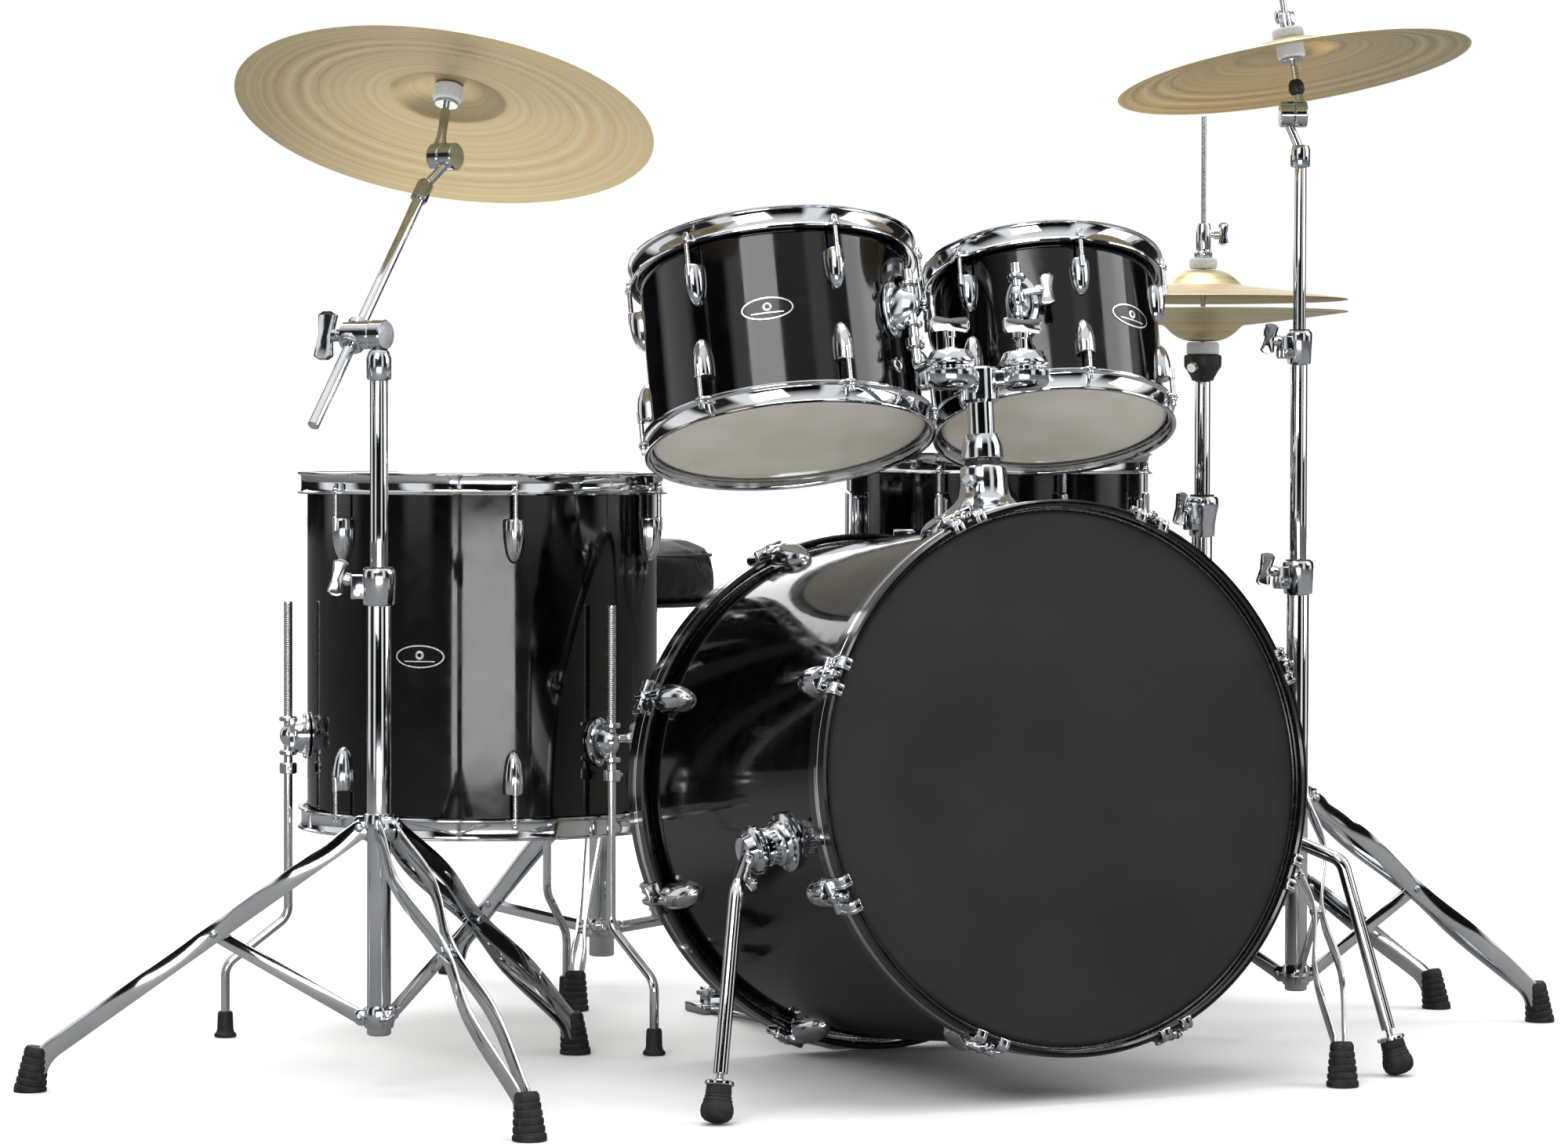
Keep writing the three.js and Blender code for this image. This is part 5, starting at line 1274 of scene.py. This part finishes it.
def addFootboard(piece, where, toe, heel, wide, heelWide, pin, heelPart=50):
    # long cast board with raised cross ribs, a round toe and a short heel piece on its hinge pin
    heelX, heelZ = heel
    run = Vector((toe[0] - heelX, 0, toe[1] - heelZ))
    length = run.length
    aside = Vector((0, 1, 0))
    flat = axesAlong(run.normalized(), aside, run.normalized().cross(aside))
    start = where @ at(heelX, 0, heelZ) @ flat
    half = wide / 2
    outline = [(heelPart, -half * 0.82), (length * 0.55, -half), (length - 26, -half),
               (length - 8, -half * 0.8), (length, -half * 0.36), (length, half * 0.36),
               (length - 8, half * 0.8), (length - 26, half), (length * 0.55, half),
               (heelPart, half * 0.82)]
    addShape(piece, plateShape(outline, 5.4, 1.4, 3), "chromeCast", start)
    tail = [(8, -heelWide / 2), (heelPart + 1, -heelWide / 2), (heelPart + 1, heelWide / 2), (8, heelWide / 2)]
    addShape(piece, plateShape(tail, 5, 1.2), "chromeCast", start)
    for k in range(9):
        spot = heelPart + 18 + k * (length - heelPart - 44) / 8
        addShape(piece, cubeShape((4.2, wide * 0.62, 2.2), 0.8), "chromeCast", start @ at(spot, 0, 3.2))
    for side in (1, -1):
        rail = strapShape([(heelPart + 4, side * half * 0.78), (length * 0.55, side * half * 0.92),
                           (length - 30, side * half * 0.9)], 3.2, 2.2, 0.5)
        addShape(piece, rail, "chromeCast", start @ at(0, 0, 3))
    knuckleLong, knuckleRadius, pinRadius = 42, 8.6, 3
    addShape(piece, rodShape(knuckleLong, knuckleRadius, 1.2), "chromeCast",
             where @ at(heelX, -knuckleLong / 2, heelZ) @ turned(-90, "X"))
    addShape(piece, rodShape(pin, pinRadius, 0.6), "zincSteel",
             where @ at(heelX, -pin / 2, heelZ) @ turned(-90, "X"))


def addChain(piece, start, end, pitch=8.4):
    # steel links, each one turned a quarter from the last
    start, end = Vector(start), Vector(end)
    count = max(2, round((end - start).length / pitch))
    for k in range(count):
        link = bentLoop(pitch * 0.72, 3.0, 1.25)
        middle = start.lerp(end, (k + 0.5) / count)
        addShape(piece, link, "zincSteel", facing(middle, end - start) @ turned(90 * (k % 2)))


def bentLoop(half, wide, wire):
    # an oval ring of wire standing along Z
    bm = turnedShape([(wide + wire * cos(tau * k / 8), wire * sin(tau * k / 8)) for k in range(8)], 16, True)
    for v in bm.verts:
        v.co.x += (half - wide) * (1 if v.co.x > 0 else -1)
    bmesh.ops.transform(bm, matrix=turned(90, "Y"), verts=bm.verts)
    return bm


def makeHihat():
    place = standPlace("hihat")
    rimLow, rimHigh = hat["bottomRim"], hat["topRim"]
    bellTop = rimHigh + hat["rise"] + hat["dome"]
    base = newPiece()
    addTripod(base, "hihat")
    addTube(base, pipes["lower"], *hat["lower"], False)
    addClampCollar(base, pipes["lower"], *hat["clamp"], hat["clampTurn"], True, 40)
    way = turned(hat["heading"])
    toe = {"size": (50, 30, 13), "at": (9, 0, 52)}
    heelPlate = {"size": (54, 80, 11), "at": (345, 0, 5.6)}
    rods = {"radius": 4, "ends": ((24, 13, 47), (330, 30, 6))}
    addPedalFrame(base, way, toe, heelPlate, rods, {"size": (20, 5, 22), "at": (340, 26, 19)})
    finishPiece(base, "hihat_tripod", "frame", ["hihat_base"], place)
    seat = newPiece()
    addTube(seat, pipes["middle"], *hat["middle"], False)
    cup = [(9.6, 764), (13, 764), (14.5, 768), (19, 776), (22.6, 781), (23, 784), (23, 794), (21.4, 796),
           (0, 796)]
    addShape(seat, turnedShape(cup, 56), "blackNylon")
    addShape(seat, turnedShape([(4, 796), (18, 796), (20, 797.4), (20, 809), (18.4, 811.4), (4, 811.4)], 48,
                               True), "greyFelt")
    screwTurn = hat["tiltScrew"]
    screwWay = polar(1, screwTurn, -0.25)
    addShape(seat, rodShape(16, 3, 0.6, 16), "zincSteel", facing(polar(15, screwTurn, 784), screwWay))
    addShape(seat, knurledShape(8, 6, 1.6, 0.5, 24), "chromeCast", facing(polar(28, screwTurn, 781), screwWay))
    finishPiece(seat, "hihat_seat_cup", "hihat_upper", ["hihat_seat_tube"], place)
    for name, body, flip, rim in (("bottom", "hihat_upper", -1, rimLow), ("top", "hihat_rod", 1, rimHigh)):
        disc = newPiece()
        bowed = cymbalShape(hat["radius"], hat["bell"], hat["rise"], hat["dome"], thick=hat["thick"])
        addShape(disc, bowed, "cymbalBronze", Matrix.Diagonal((1, 1, flip, 1)))
        finishPiece(disc, f"hihat_{name}_disc", body, [f"hihat_{name}_cymbal"], place @ at(0, 0, rim),
                    planUv=True)
    rod = newPiece()
    rodLow, rodLong = hat["rod"]
    addShape(rod, rodShape(rodLong, 3, 0.8, 24), "zincSteel", at(0, 0, rodLow))
    addFelt(rod, at(), bellTop - 8, bellTop - 1.6, 15, 3.2)
    addFelt(rod, at(), bellTop + 2.4, bellTop + 15, 17, 3.2)
    clutch = [(3.2, 15.2), (10, 15.2), (11, 17), (11, 22), (9, 23.5), (8.4, 26), (9, 28), (9, 54), (7.6, 58),
              (3.2, 58)]
    addShape(rod, turnedShape([(r, z + bellTop) for r, z in clutch], 40, True), "chromeCast")
    addShape(rod, knurledShape(8, 8.6, 1.6, 0.5, 24), "chromeCast", at(0, 0, bellTop - 17))
    addWing(rod, (6, -3, bellTop + 45), (0.89, -0.45, 0), (0, 0, 1), 15, 28, 12)
    finishPiece(rod, "hihat_rod_clutch", "hihat_rod", ["hihat_pull_rod"], place)
    board = newPiece()
    addFootboard(board, way, hat["toe"], hat["heel"], *hat["board"], 76)
    addChain(board, way @ Vector((41, 0, 70)), way @ Vector((22, 0, 62)))
    finishPiece(board, "hihat_footboard_cast", "hihat_footboard", ["hihat_footboard"], place)


snareStand = {"lower": (54, 340), "middle": (190, 467), "clamp": (306, 340), "clampTurn": 75}
basketArm = {"first": 63.2, "root": (16, 457), "end": (189.5, 512), "apart": 5, "tall": 12, "thick": 2.8}


def makeSnareStand():
    place = standPlace("snare_stand")
    base = newPiece()
    addTripod(base, "snare_stand")
    addTube(base, pipes["lower"], *snareStand["lower"])
    addClampCollar(base, pipes["lower"], *snareStand["clamp"], snareStand["clampTurn"])
    finishPiece(base, "snare_stand_tripod", "frame", ["snare_stand_base"], place)
    basket = newPiece()
    addTube(basket, pipes["middle"], *snareStand["middle"])
    addShape(basket, turnedShape([(9.6, 441), (18, 441), (23, 445), (24, 450), (24, 466), (21, 471), (0, 471)],
                                 48), "chromeCast")
    addShape(basket, knurledShape(26, 11, 2.2, 0.5, 32), "chromeCast", at(0, 0, 412))
    for k in range(3):
        angle = basketArm["first"] + 120 * k
        low, high = (polar(reach, angle, height) for reach, height in (basketArm["root"], basketArm["end"]))
        run = high - low
        aside = polar(1, angle + 90)
        tip = axesAlong(run.normalized(), aside, run.normalized().cross(aside))
        for side in (1, -1):
            stations = [(run.length * s / 20, side * basketArm["apart"]) for s in range(21)]
            addShape(basket, strapShape(stations, basketArm["tall"], basketArm["thick"]), "chromePlate",
                     Matrix.Translation(low) @ tip)
        addShape(basket, cubeShape((14, 12, 10), 2), "chromeCast", Matrix.Translation(high) @ turned(angle))
        grip = cubeShape((36, 17, 11), 3.4, 4)
        addShape(basket, grip, "mouldedRubber", turned(angle) @ at(177, 0, 516.6))
        addShape(basket, cubeShape((9.4, 17, 27), 3, 4), "mouldedRubber", turned(angle) @ at(190.5, 0, 526))
        for s in range(4):
            addShape(basket, cubeShape((1.6, 17.6, 1.6), 0.4), "mouldedRubber",
                     turned(angle) @ at(163 + 8 * s, 0, 521.8))
    finishPiece(basket, "snare_stand_basket", "snare", ["snare_basket"], place)


snareWires = {"count": 20, "long": 250, "thick": 0.75, "pitch": 2}


def makeSnareFittings():
    # throw-off lever, and the wires across the lower head
    place, size = places["snare"], drums["snare"]
    radius, angle = size["radius"], strainer["angle"]
    lever = newPiece()
    addShape(lever, cubeShape((7, 17, 42), 2, 3), "chromeCast", turned(angle) @ at(radius + 23.4, 0, 21))
    addShape(lever, cubeShape((15, 13, 8), 3, 3), "chromeCast", turned(angle) @ at(radius + 28, 0, 43.5))
    addShape(lever, rodShape(20, 3.4, 0.6, 20), "zincSteel",
             turned(angle) @ at(radius + 23.4, -10, 3) @ turned(-90, "X"))
    finishPiece(lever, "snare_throw_lever", "strainer_lever", ["snare_strainer_lever"], place)
    wires = newPiece()
    under = -size["length"] / 2 - 2.6
    count, long, thick, pitch = (snareWires[key] for key in ("count", "long", "thick", "pitch"))
    for k in range(count):
        spring = rodShape(long, thick, 0.2, 6)
        across = (k - (count - 1) / 2) * pitch
        addShape(wires, spring, "zincSteel", turned(angle) @ at(-long / 2, across, under) @ turned(90, "Y"))
    for end in (1, -1):
        addShape(wires, cubeShape((12, 42, 1.2), 0.4), "zincSteel", turned(angle) @ at(end * 130, 0, under))
        addShape(wires, cubeShape((34, 14, 0.5), 0.1, 1), "blackFilm",
                 turned(angle) @ at(end * 151, 0, under + 0.6))
    finishPiece(wires, "snare_wires", "snare", [], place)


seatCushion = {"radius": 150, "low": 484, "high": 561, "swell": 9, "voxel": 6, "pressure": 4, "frames": 20,
               "fill": 0.8}
seatPost = {"radius": 12, "span": (180, 458), "lower": (40, 380), "clamp": (342, 380), "clampTurn": 60}


def makeThrone():
    place = standPlace("throne")
    base = newPiece()
    addTripod(base, "throne")
    addTube(base, stands["throne"]["tube"], *seatPost["lower"])
    addClampCollar(base, stands["throne"]["tube"], *seatPost["clamp"], seatPost["clampTurn"], wing=44)
    finishPiece(base, "throne_tripod", "frame", ["throne_base"], place)
    post = newPiece()
    addTube(post, seatPost["radius"], *seatPost["span"])
    addShape(post, knurledShape(190, 12.2, 7, 0.6, 40), "chromePlate", at(0, 0, 190))
    top = [(11, 448), (16, 448), (18, 452), (25, 454), (26, 456), (26, 468), (24, 470), (0, 470)]
    addShape(post, turnedShape(top, 48), "chromeCast")
    finishPiece(post, "throne_post_tube", "throne_post", ["throne_post"], place)
    seat = makeCushion(place)
    trim = newPiece()
    radius, low, high = seatCushion["radius"], seatCushion["low"], seatCushion["high"]
    middle = place.translation
    for height in (low + 9, high - 16):
        # the welt lies on the cushion's skin at its own height
        near = [(v.co - middle).to_2d().length / mm for v in seat.data.vertices
                if abs(v.co.z / mm - height) < 5]
        reach = min(sum(near) / len(near) + 0.4 if near else radius, radius + 1)
        welt = [(reach + 2.2 * cos(tau * k / 10), height + 2.2 * sin(tau * k / 10)) for k in range(10)]
        addShape(trim, turnedShape(welt, 120, True), "blackVinyl")
    pan = [(0, low - 2.4), (radius - 16, low - 2.4), (radius - 13, low - 0.6), (radius - 13, low + 3),
           (0, low + 3)]
    addShape(trim, turnedShape(pan, 96), "blackNylon")
    addShape(trim, turnedShape([(26, low - 13), (68, low - 13), (70, low - 11), (70, low - 2), (26, low - 2)],
                               64, True), "chromeCast")
    for k in range(4):
        addScrew(trim, turned(45 + 90 * k) @ at(56, 0, low - 13) @ turned(180, "X"), 3.6)
    finishPiece(trim, "throne_seat_trim", "throne_seat", ["throne_seat"], place)


def makeCushion(place):
    # round vinyl cushion: starts a little small, then swells as a filled bag does
    radius, low, high, swell = (seatCushion[key] for key in ("radius", "low", "high", "swell"))
    inner = radius - swell * 0.7
    pad = newPiece()
    profile = [(0, low + 2), (inner - 16, low + 2), (inner - 4, low + 6), (inner, low + 14), (inner, high - 22),
               (inner - 5, high - 11), (inner - 18, high - 6), (inner * 0.5, high - 5),
               (0, high - 5)]
    addShape(pad, turnedShape(profile, 96), "blackVinyl")
    cushion = finishPiece(pad, "throne_cushion", "throne_seat", [], place, crease=180)
    remesh = cushion.modifiers.new("remesh", "REMESH")
    remesh.mode, remesh.voxel_size = "VOXEL", seatCushion["voxel"] * mm
    bpy.context.view_layer.objects.active = cushion
    cushion.select_set(True)
    bpy.ops.object.modifier_apply(modifier="remesh")
    start = [v.co.copy() for v in cushion.data.vertices]
    cloth = cushion.modifiers.new("cloth", "CLOTH")
    cloth.settings.use_pressure = True
    cloth.settings.uniform_pressure_force = seatCushion["pressure"]
    cloth.settings.effector_weights.gravity = 0
    for step in range(1, seatCushion["frames"] + 1):
        bpy.context.scene.frame_set(step)
    bpy.ops.object.modifier_apply(modifier="cloth")
    bpy.context.scene.frame_set(1)
    cap = swell * mm
    for v, was in zip(cushion.data.vertices, start):
        move = v.co - was
        v.co = was + move * min(1, cap / max(move.length, 1e-9))
        v.co.z = max(v.co.z, low * mm)
    finer = cushion.modifiers.new("finer", "SUBSURF")
    finer.levels = finer.render_levels = 1
    cushion.data.shade_smooth()
    cushion.select_set(False)
    return cushion


pedal = {"gap": 5, "axle": (78, 165), "heel": (372, 24), "toe": (102, 92), "board": (72, 38), "beater": 150,
         "lean": 40}
# the rear hoop's lowest point: how far back the drum reaches at the floor
rearHoop = {"tilt": 5.67, "outside": 13.1, "sides": 32, "drumLong": 481}


def makeKickPedal():
    # the pedal's frame starts at the back of the bass drum's rear hoop
    tilt = radians(rearHoop["tilt"])
    hoop = (bassRadius + rearHoop["outside"]) * cos(pi / rearHoop["sides"])
    front = rearHoop["drumLong"] / 2 * cos(tilt) - hoop * sin(tilt) + pedal["gap"]
    place = kitPlace @ at(0, front, 0) @ turned(90)
    axleX, axleZ = pedal["axle"]
    base = newPiece()
    toe = {"size": (94, 94, 7.4), "at": (48, 0, 6)}
    heelPlate = {"size": (54, 86, 11), "at": (372, 0, 5.8)}
    rods = {"radius": 4, "ends": ((90, 20, 8), (352, 30, 6))}
    addPedalFrame(base, turned(0), toe, heelPlate, rods, {"size": (20, 6, 24), "at": (372, 28, 18)})
    for side in (1, -1):
        post = [(-11, 0), (11, 0), (9.4, 60), (7.6, 150), (10.5, 160), (11, 166), (10, 173), (6, 177),
                (-6, 177), (-10, 173), (-11, 166), (-10.5, 160), (-7.6, 150),
                (-9.4, 60)]
        addShape(base, plateShape(post, 9, 1.4, 3), "chromeCast", at(axleX, side * 42, 0) @ turned(90, "X"))
        addShape(base, turnedShape([(5.4, -6), (9.6, -6), (10.4, -5), (10.4, 5), (9.6, 6), (5.4, 6)], 40, True),
                 "zincSteel",
                 at(axleX, side * 42, axleZ) @ turned(90, "X"))
    addShape(base, cubeShape((44, 26, 7), 1.4), "chromeCast", at(10, 0, 15.5) @ turned(90))
    addShape(base, rodShape(14, 3.4, 0.6, 20), "zincSteel", at(22, 0, 10))
    finishPiece(base, "kick_pedal_casting", "frame", ["kick_pedal_frame"], place)
    board = newPiece()
    addFootboard(board, turned(0), pedal["toe"], pedal["heel"], *pedal["board"], 78)
    addChain(board, (axleX + 22, 0, 97), (axleX + 20, 0, 152))
    finishPiece(board, "kick_footboard_cast", "kick_footboard", ["kick_footboard"], place)
    beater = newPiece()
    axle = Vector((axleX, 0, axleZ))
    addShape(beater, rodShape(108, 5, 0.8, 28), "chromePlate", at(axleX, -54, axleZ) @ turned(-90, "X"))
    addShape(beater, turnedShape([(5, -9), (19, -9), (20, -7.6), (17, -5), (17, 5), (20, 7.6), (19, 9), (5, 9)],
                                 56, True), "chromeCast",
             Matrix.Translation(axle) @ turned(90, "X"))
    back = radians(pedal["lean"])
    shaft, strike = Vector((sin(back), 0, cos(back))), Vector((-cos(back), 0, sin(back)))
    addShape(beater, cubeShape((17, 14, 26), 2.4, 3), "chromeCast", facing(axle + shaft * 12, shaft))
    addShape(beater, rodShape(pedal["beater"] + 30, 3.6, 0.8, 20), "chromePlate",
             facing(axle - shaft * 16, shaft))
    head = turnedShape([(0, -24), (12, -24), (18, -20), (21, -12), (22, 0), (22, 18), (20.4, 23), (16, 25.6),
                        (0, 26)], 48)
    addShape(beater, head, "greyFelt", facing(axle + shaft * pedal["beater"], strike))
    addShape(beater, turnedShape([(0, -27), (9, -27), (10, -25.6), (10, -22), (0, -22)], 32), "blackNylon",
             facing(axle + shaft * pedal["beater"], strike))
    finishPiece(beater, "kick_beater_arm", "kick_beater", ["kick_beater"], place)


makeStraight()
boomEnd = makeBoom()
makeCymbal("ride", boomEnd)
makeCymbal("crash", Vector(joints["crash_tilt"]["pos_m"]))
print("cymbal stands done")
makeHihat()
makeSnareStand()
makeSnareFittings()
print("hi-hat and snare done")
makeThrone()
makeKickPedal()
print("throne and pedals done")


def makeStage():
    bm = bmesh.new()
    bmesh.ops.create_circle(bm, cap_ends=True, radius=30, segments=96)
    mesh = bpy.data.meshes.new("studio_floor")
    bm.to_mesh(mesh)
    bm.free()
    tree, shader, coords = newPaint("studioFloor", {"IOR": 1.4, "Specular IOR Level": 0.1,
                                                    "Emission Color": (1, 1, 1, 1)})
    tone = addNode(tree, "TexNoise", {"Scale": 3.0, "Detail": 3.0}, {"Vector": coords})
    pale = colourFrom(tree, shader, tone.outputs["Fac"], [(0.3, "#F3F3F3"), (0.7, "#F7F7F7")])
    roughnessFrom(tree, shader, tone.outputs["Fac"], 0.7, 0.8)
    # mirrored in gloss and chrome it reads as a dark studio floor, which keeps the black wrap black
    mirrored = addNode(tree, "LightPath").outputs["Is Glossy Ray"]
    mix = addNode(tree, "MixRGB", {"Color2": srgb("#808080")},
                  {"Fac": mirrored, "Color1": pale.outputs["Color"]})
    tree.links.new(mix.outputs["Color"], shader.inputs["Base Color"])
    away = addNode(tree, "VectorMath", {"operation": "LENGTH"}, {0: coords})
    fade = addNode(tree, "MapRange", {"From Min": 1.3, "From Max": 4.5}, {"Value": away.outputs["Value"]})
    direct = addNode(tree, "Math", {"operation": "SUBTRACT", 0: 1.0, "use_clamp": True}, {1: mirrored})
    glow = addNode(tree, "Math", {"operation": "MULTIPLY"},
                   {0: fade.outputs["Result"], 1: direct.outputs["Value"]})
    tree.links.new(glow.outputs["Value"], shader.inputs["Emission Strength"])
    mesh.materials.append(paints["studioFloor"])
    floor = bpy.data.objects.new("studio_floor", mesh)
    floor.location.z = -0.0005
    bpy.context.scene.collection.objects.link(floor)


def makeLight(name, place, aim, size, power):
    lamp = bpy.data.lights.new(name, "AREA")
    lamp.shape = "RECTANGLE"
    lamp.size, lamp.size_y = size
    lamp.energy = power
    thing = bpy.data.objects.new(name, lamp)
    thing.location = place
    thing.rotation_euler = (Vector(aim) - Vector(place)).to_track_quat("-Z", "Y").to_euler()
    bpy.context.scene.collection.objects.link(thing)


def makeWorld():
    world = bpy.data.worlds.new("studio")
    bpy.context.scene.world = world
    world.use_nodes = True
    tree = world.node_tree
    back = tree.nodes["Background"]
    way = addNode(tree, "SeparateXYZ", {}, {0: addNode(tree, "TexCoord").outputs["Generated"]})
    bearing = addNode(tree, "Math", {"operation": "ARCTAN2"}, {0: way.outputs["Y"], 1: way.outputs["X"]})
    share = addNode(tree, "MapRange", {"From Min": -pi, "From Max": pi}, {"Value": bearing.outputs["Value"]})
    panels = addNode(tree, "ValToRGB", {"stops": studio["panels"]}, {"Fac": share.outputs["Result"]})
    height = addNode(tree, "MapRange", {"From Min": 0.45, "From Max": 0.8}, {"Value": way.outputs["Z"]})
    over = addNode(tree, "MixRGB", {"Color2": (1, 1, 1, 1)},
                   {"Fac": height.outputs["Result"], "Color1": panels.outputs["Color"]})
    seen = addNode(tree, "LightPath")
    mix = addNode(tree, "MixRGB", {"Color2": (1, 1, 1, 1)},
                  {"Fac": seen.outputs["Is Camera Ray"], "Color1": over.outputs["Color"]})
    tree.links.new(mix.outputs["Color"], back.inputs["Color"])
    back.inputs["Strength"].default_value = studio["strength"]


# place, aim, size and power of each soft panel
lamps = {
    "key_panel": ((-3.2, -3.4, 3.4), (0, 0, 0.4), (2.4, 2.4), 105),
    "fill_panel": ((3.6, -2.6, 2.6), (0, 0, 0.5), (2.2, 2.6), 70),
    "top_panel": ((0, 0.4, 4.2), (0, 0, 0), (3.4, 3.0), 125),
    "low_panel": ((-1.6, -3.2, 0.3), (0, 0, 0.9), (2.6, 0.5), 30),
    "back_panel": ((0.5, 4.0, 2.4), (0, 0, 0.5), (3.0, 2.0), 45),
}
studio = {
    "strength": 1.0,
    "panels": [(0.0, "#2A2A2A"), (0.035, "#202020"), (0.05, "#FFFFFF"), (0.085, "#FFFFFF"), (0.1, "#0C0C0C"),
               (0.25, "#0A0A0A"),
               (0.265, "#FFFFFF"), (0.3, "#FFFFFF"), (0.315, "#101010"), (0.4, "#161616"), (0.42, "#F4F4F4"),
               (0.47, "#FFFFFF"),
               (0.49, "#1C1C1C"), (0.6, "#262626"), (0.63, "#FFFFFF"), (0.7, "#F0F0F0"), (0.72, "#181818"),
               (0.83, "#1E1E1E"),
               (0.86, "#FFFFFF"), (0.93, "#F0F0F0"), (0.95, "#222222"), (1.0, "#2A2A2A")],
    "lens": 104.05,
    "sensor": 36,
    "eye": (-2.3848, -4.3249, 0.6789),
    "forward": (0.4478, 0.8937, -0.0272),
    "up": (0.0100, 0.0254, 0.9996),
}
bpy.context.scene.view_settings.view_transform = "Standard"
makeStage()
makeWorld()
for name, lamp in lamps.items():
    makeLight(name, *lamp)

forward, up = Vector(studio["forward"]).normalized(), Vector(studio["up"])
right = forward.cross(up).normalized()
up = right.cross(forward)
lens = bpy.data.cameras.new("camera")
lens.lens, lens.sensor_width = studio["lens"], studio["sensor"]
lens.clip_end = 60
camera = bpy.data.objects.new("camera", lens)
eye = Vector(studio["eye"]) + Vector((bassPlace.translation.x, bassPlace.translation.y, 0))
camera.matrix_world = Matrix.Translation(eye) @ axesAlong(right, up, -forward)
bpy.context.scene.collection.objects.link(camera)
bpy.context.scene.camera = camera
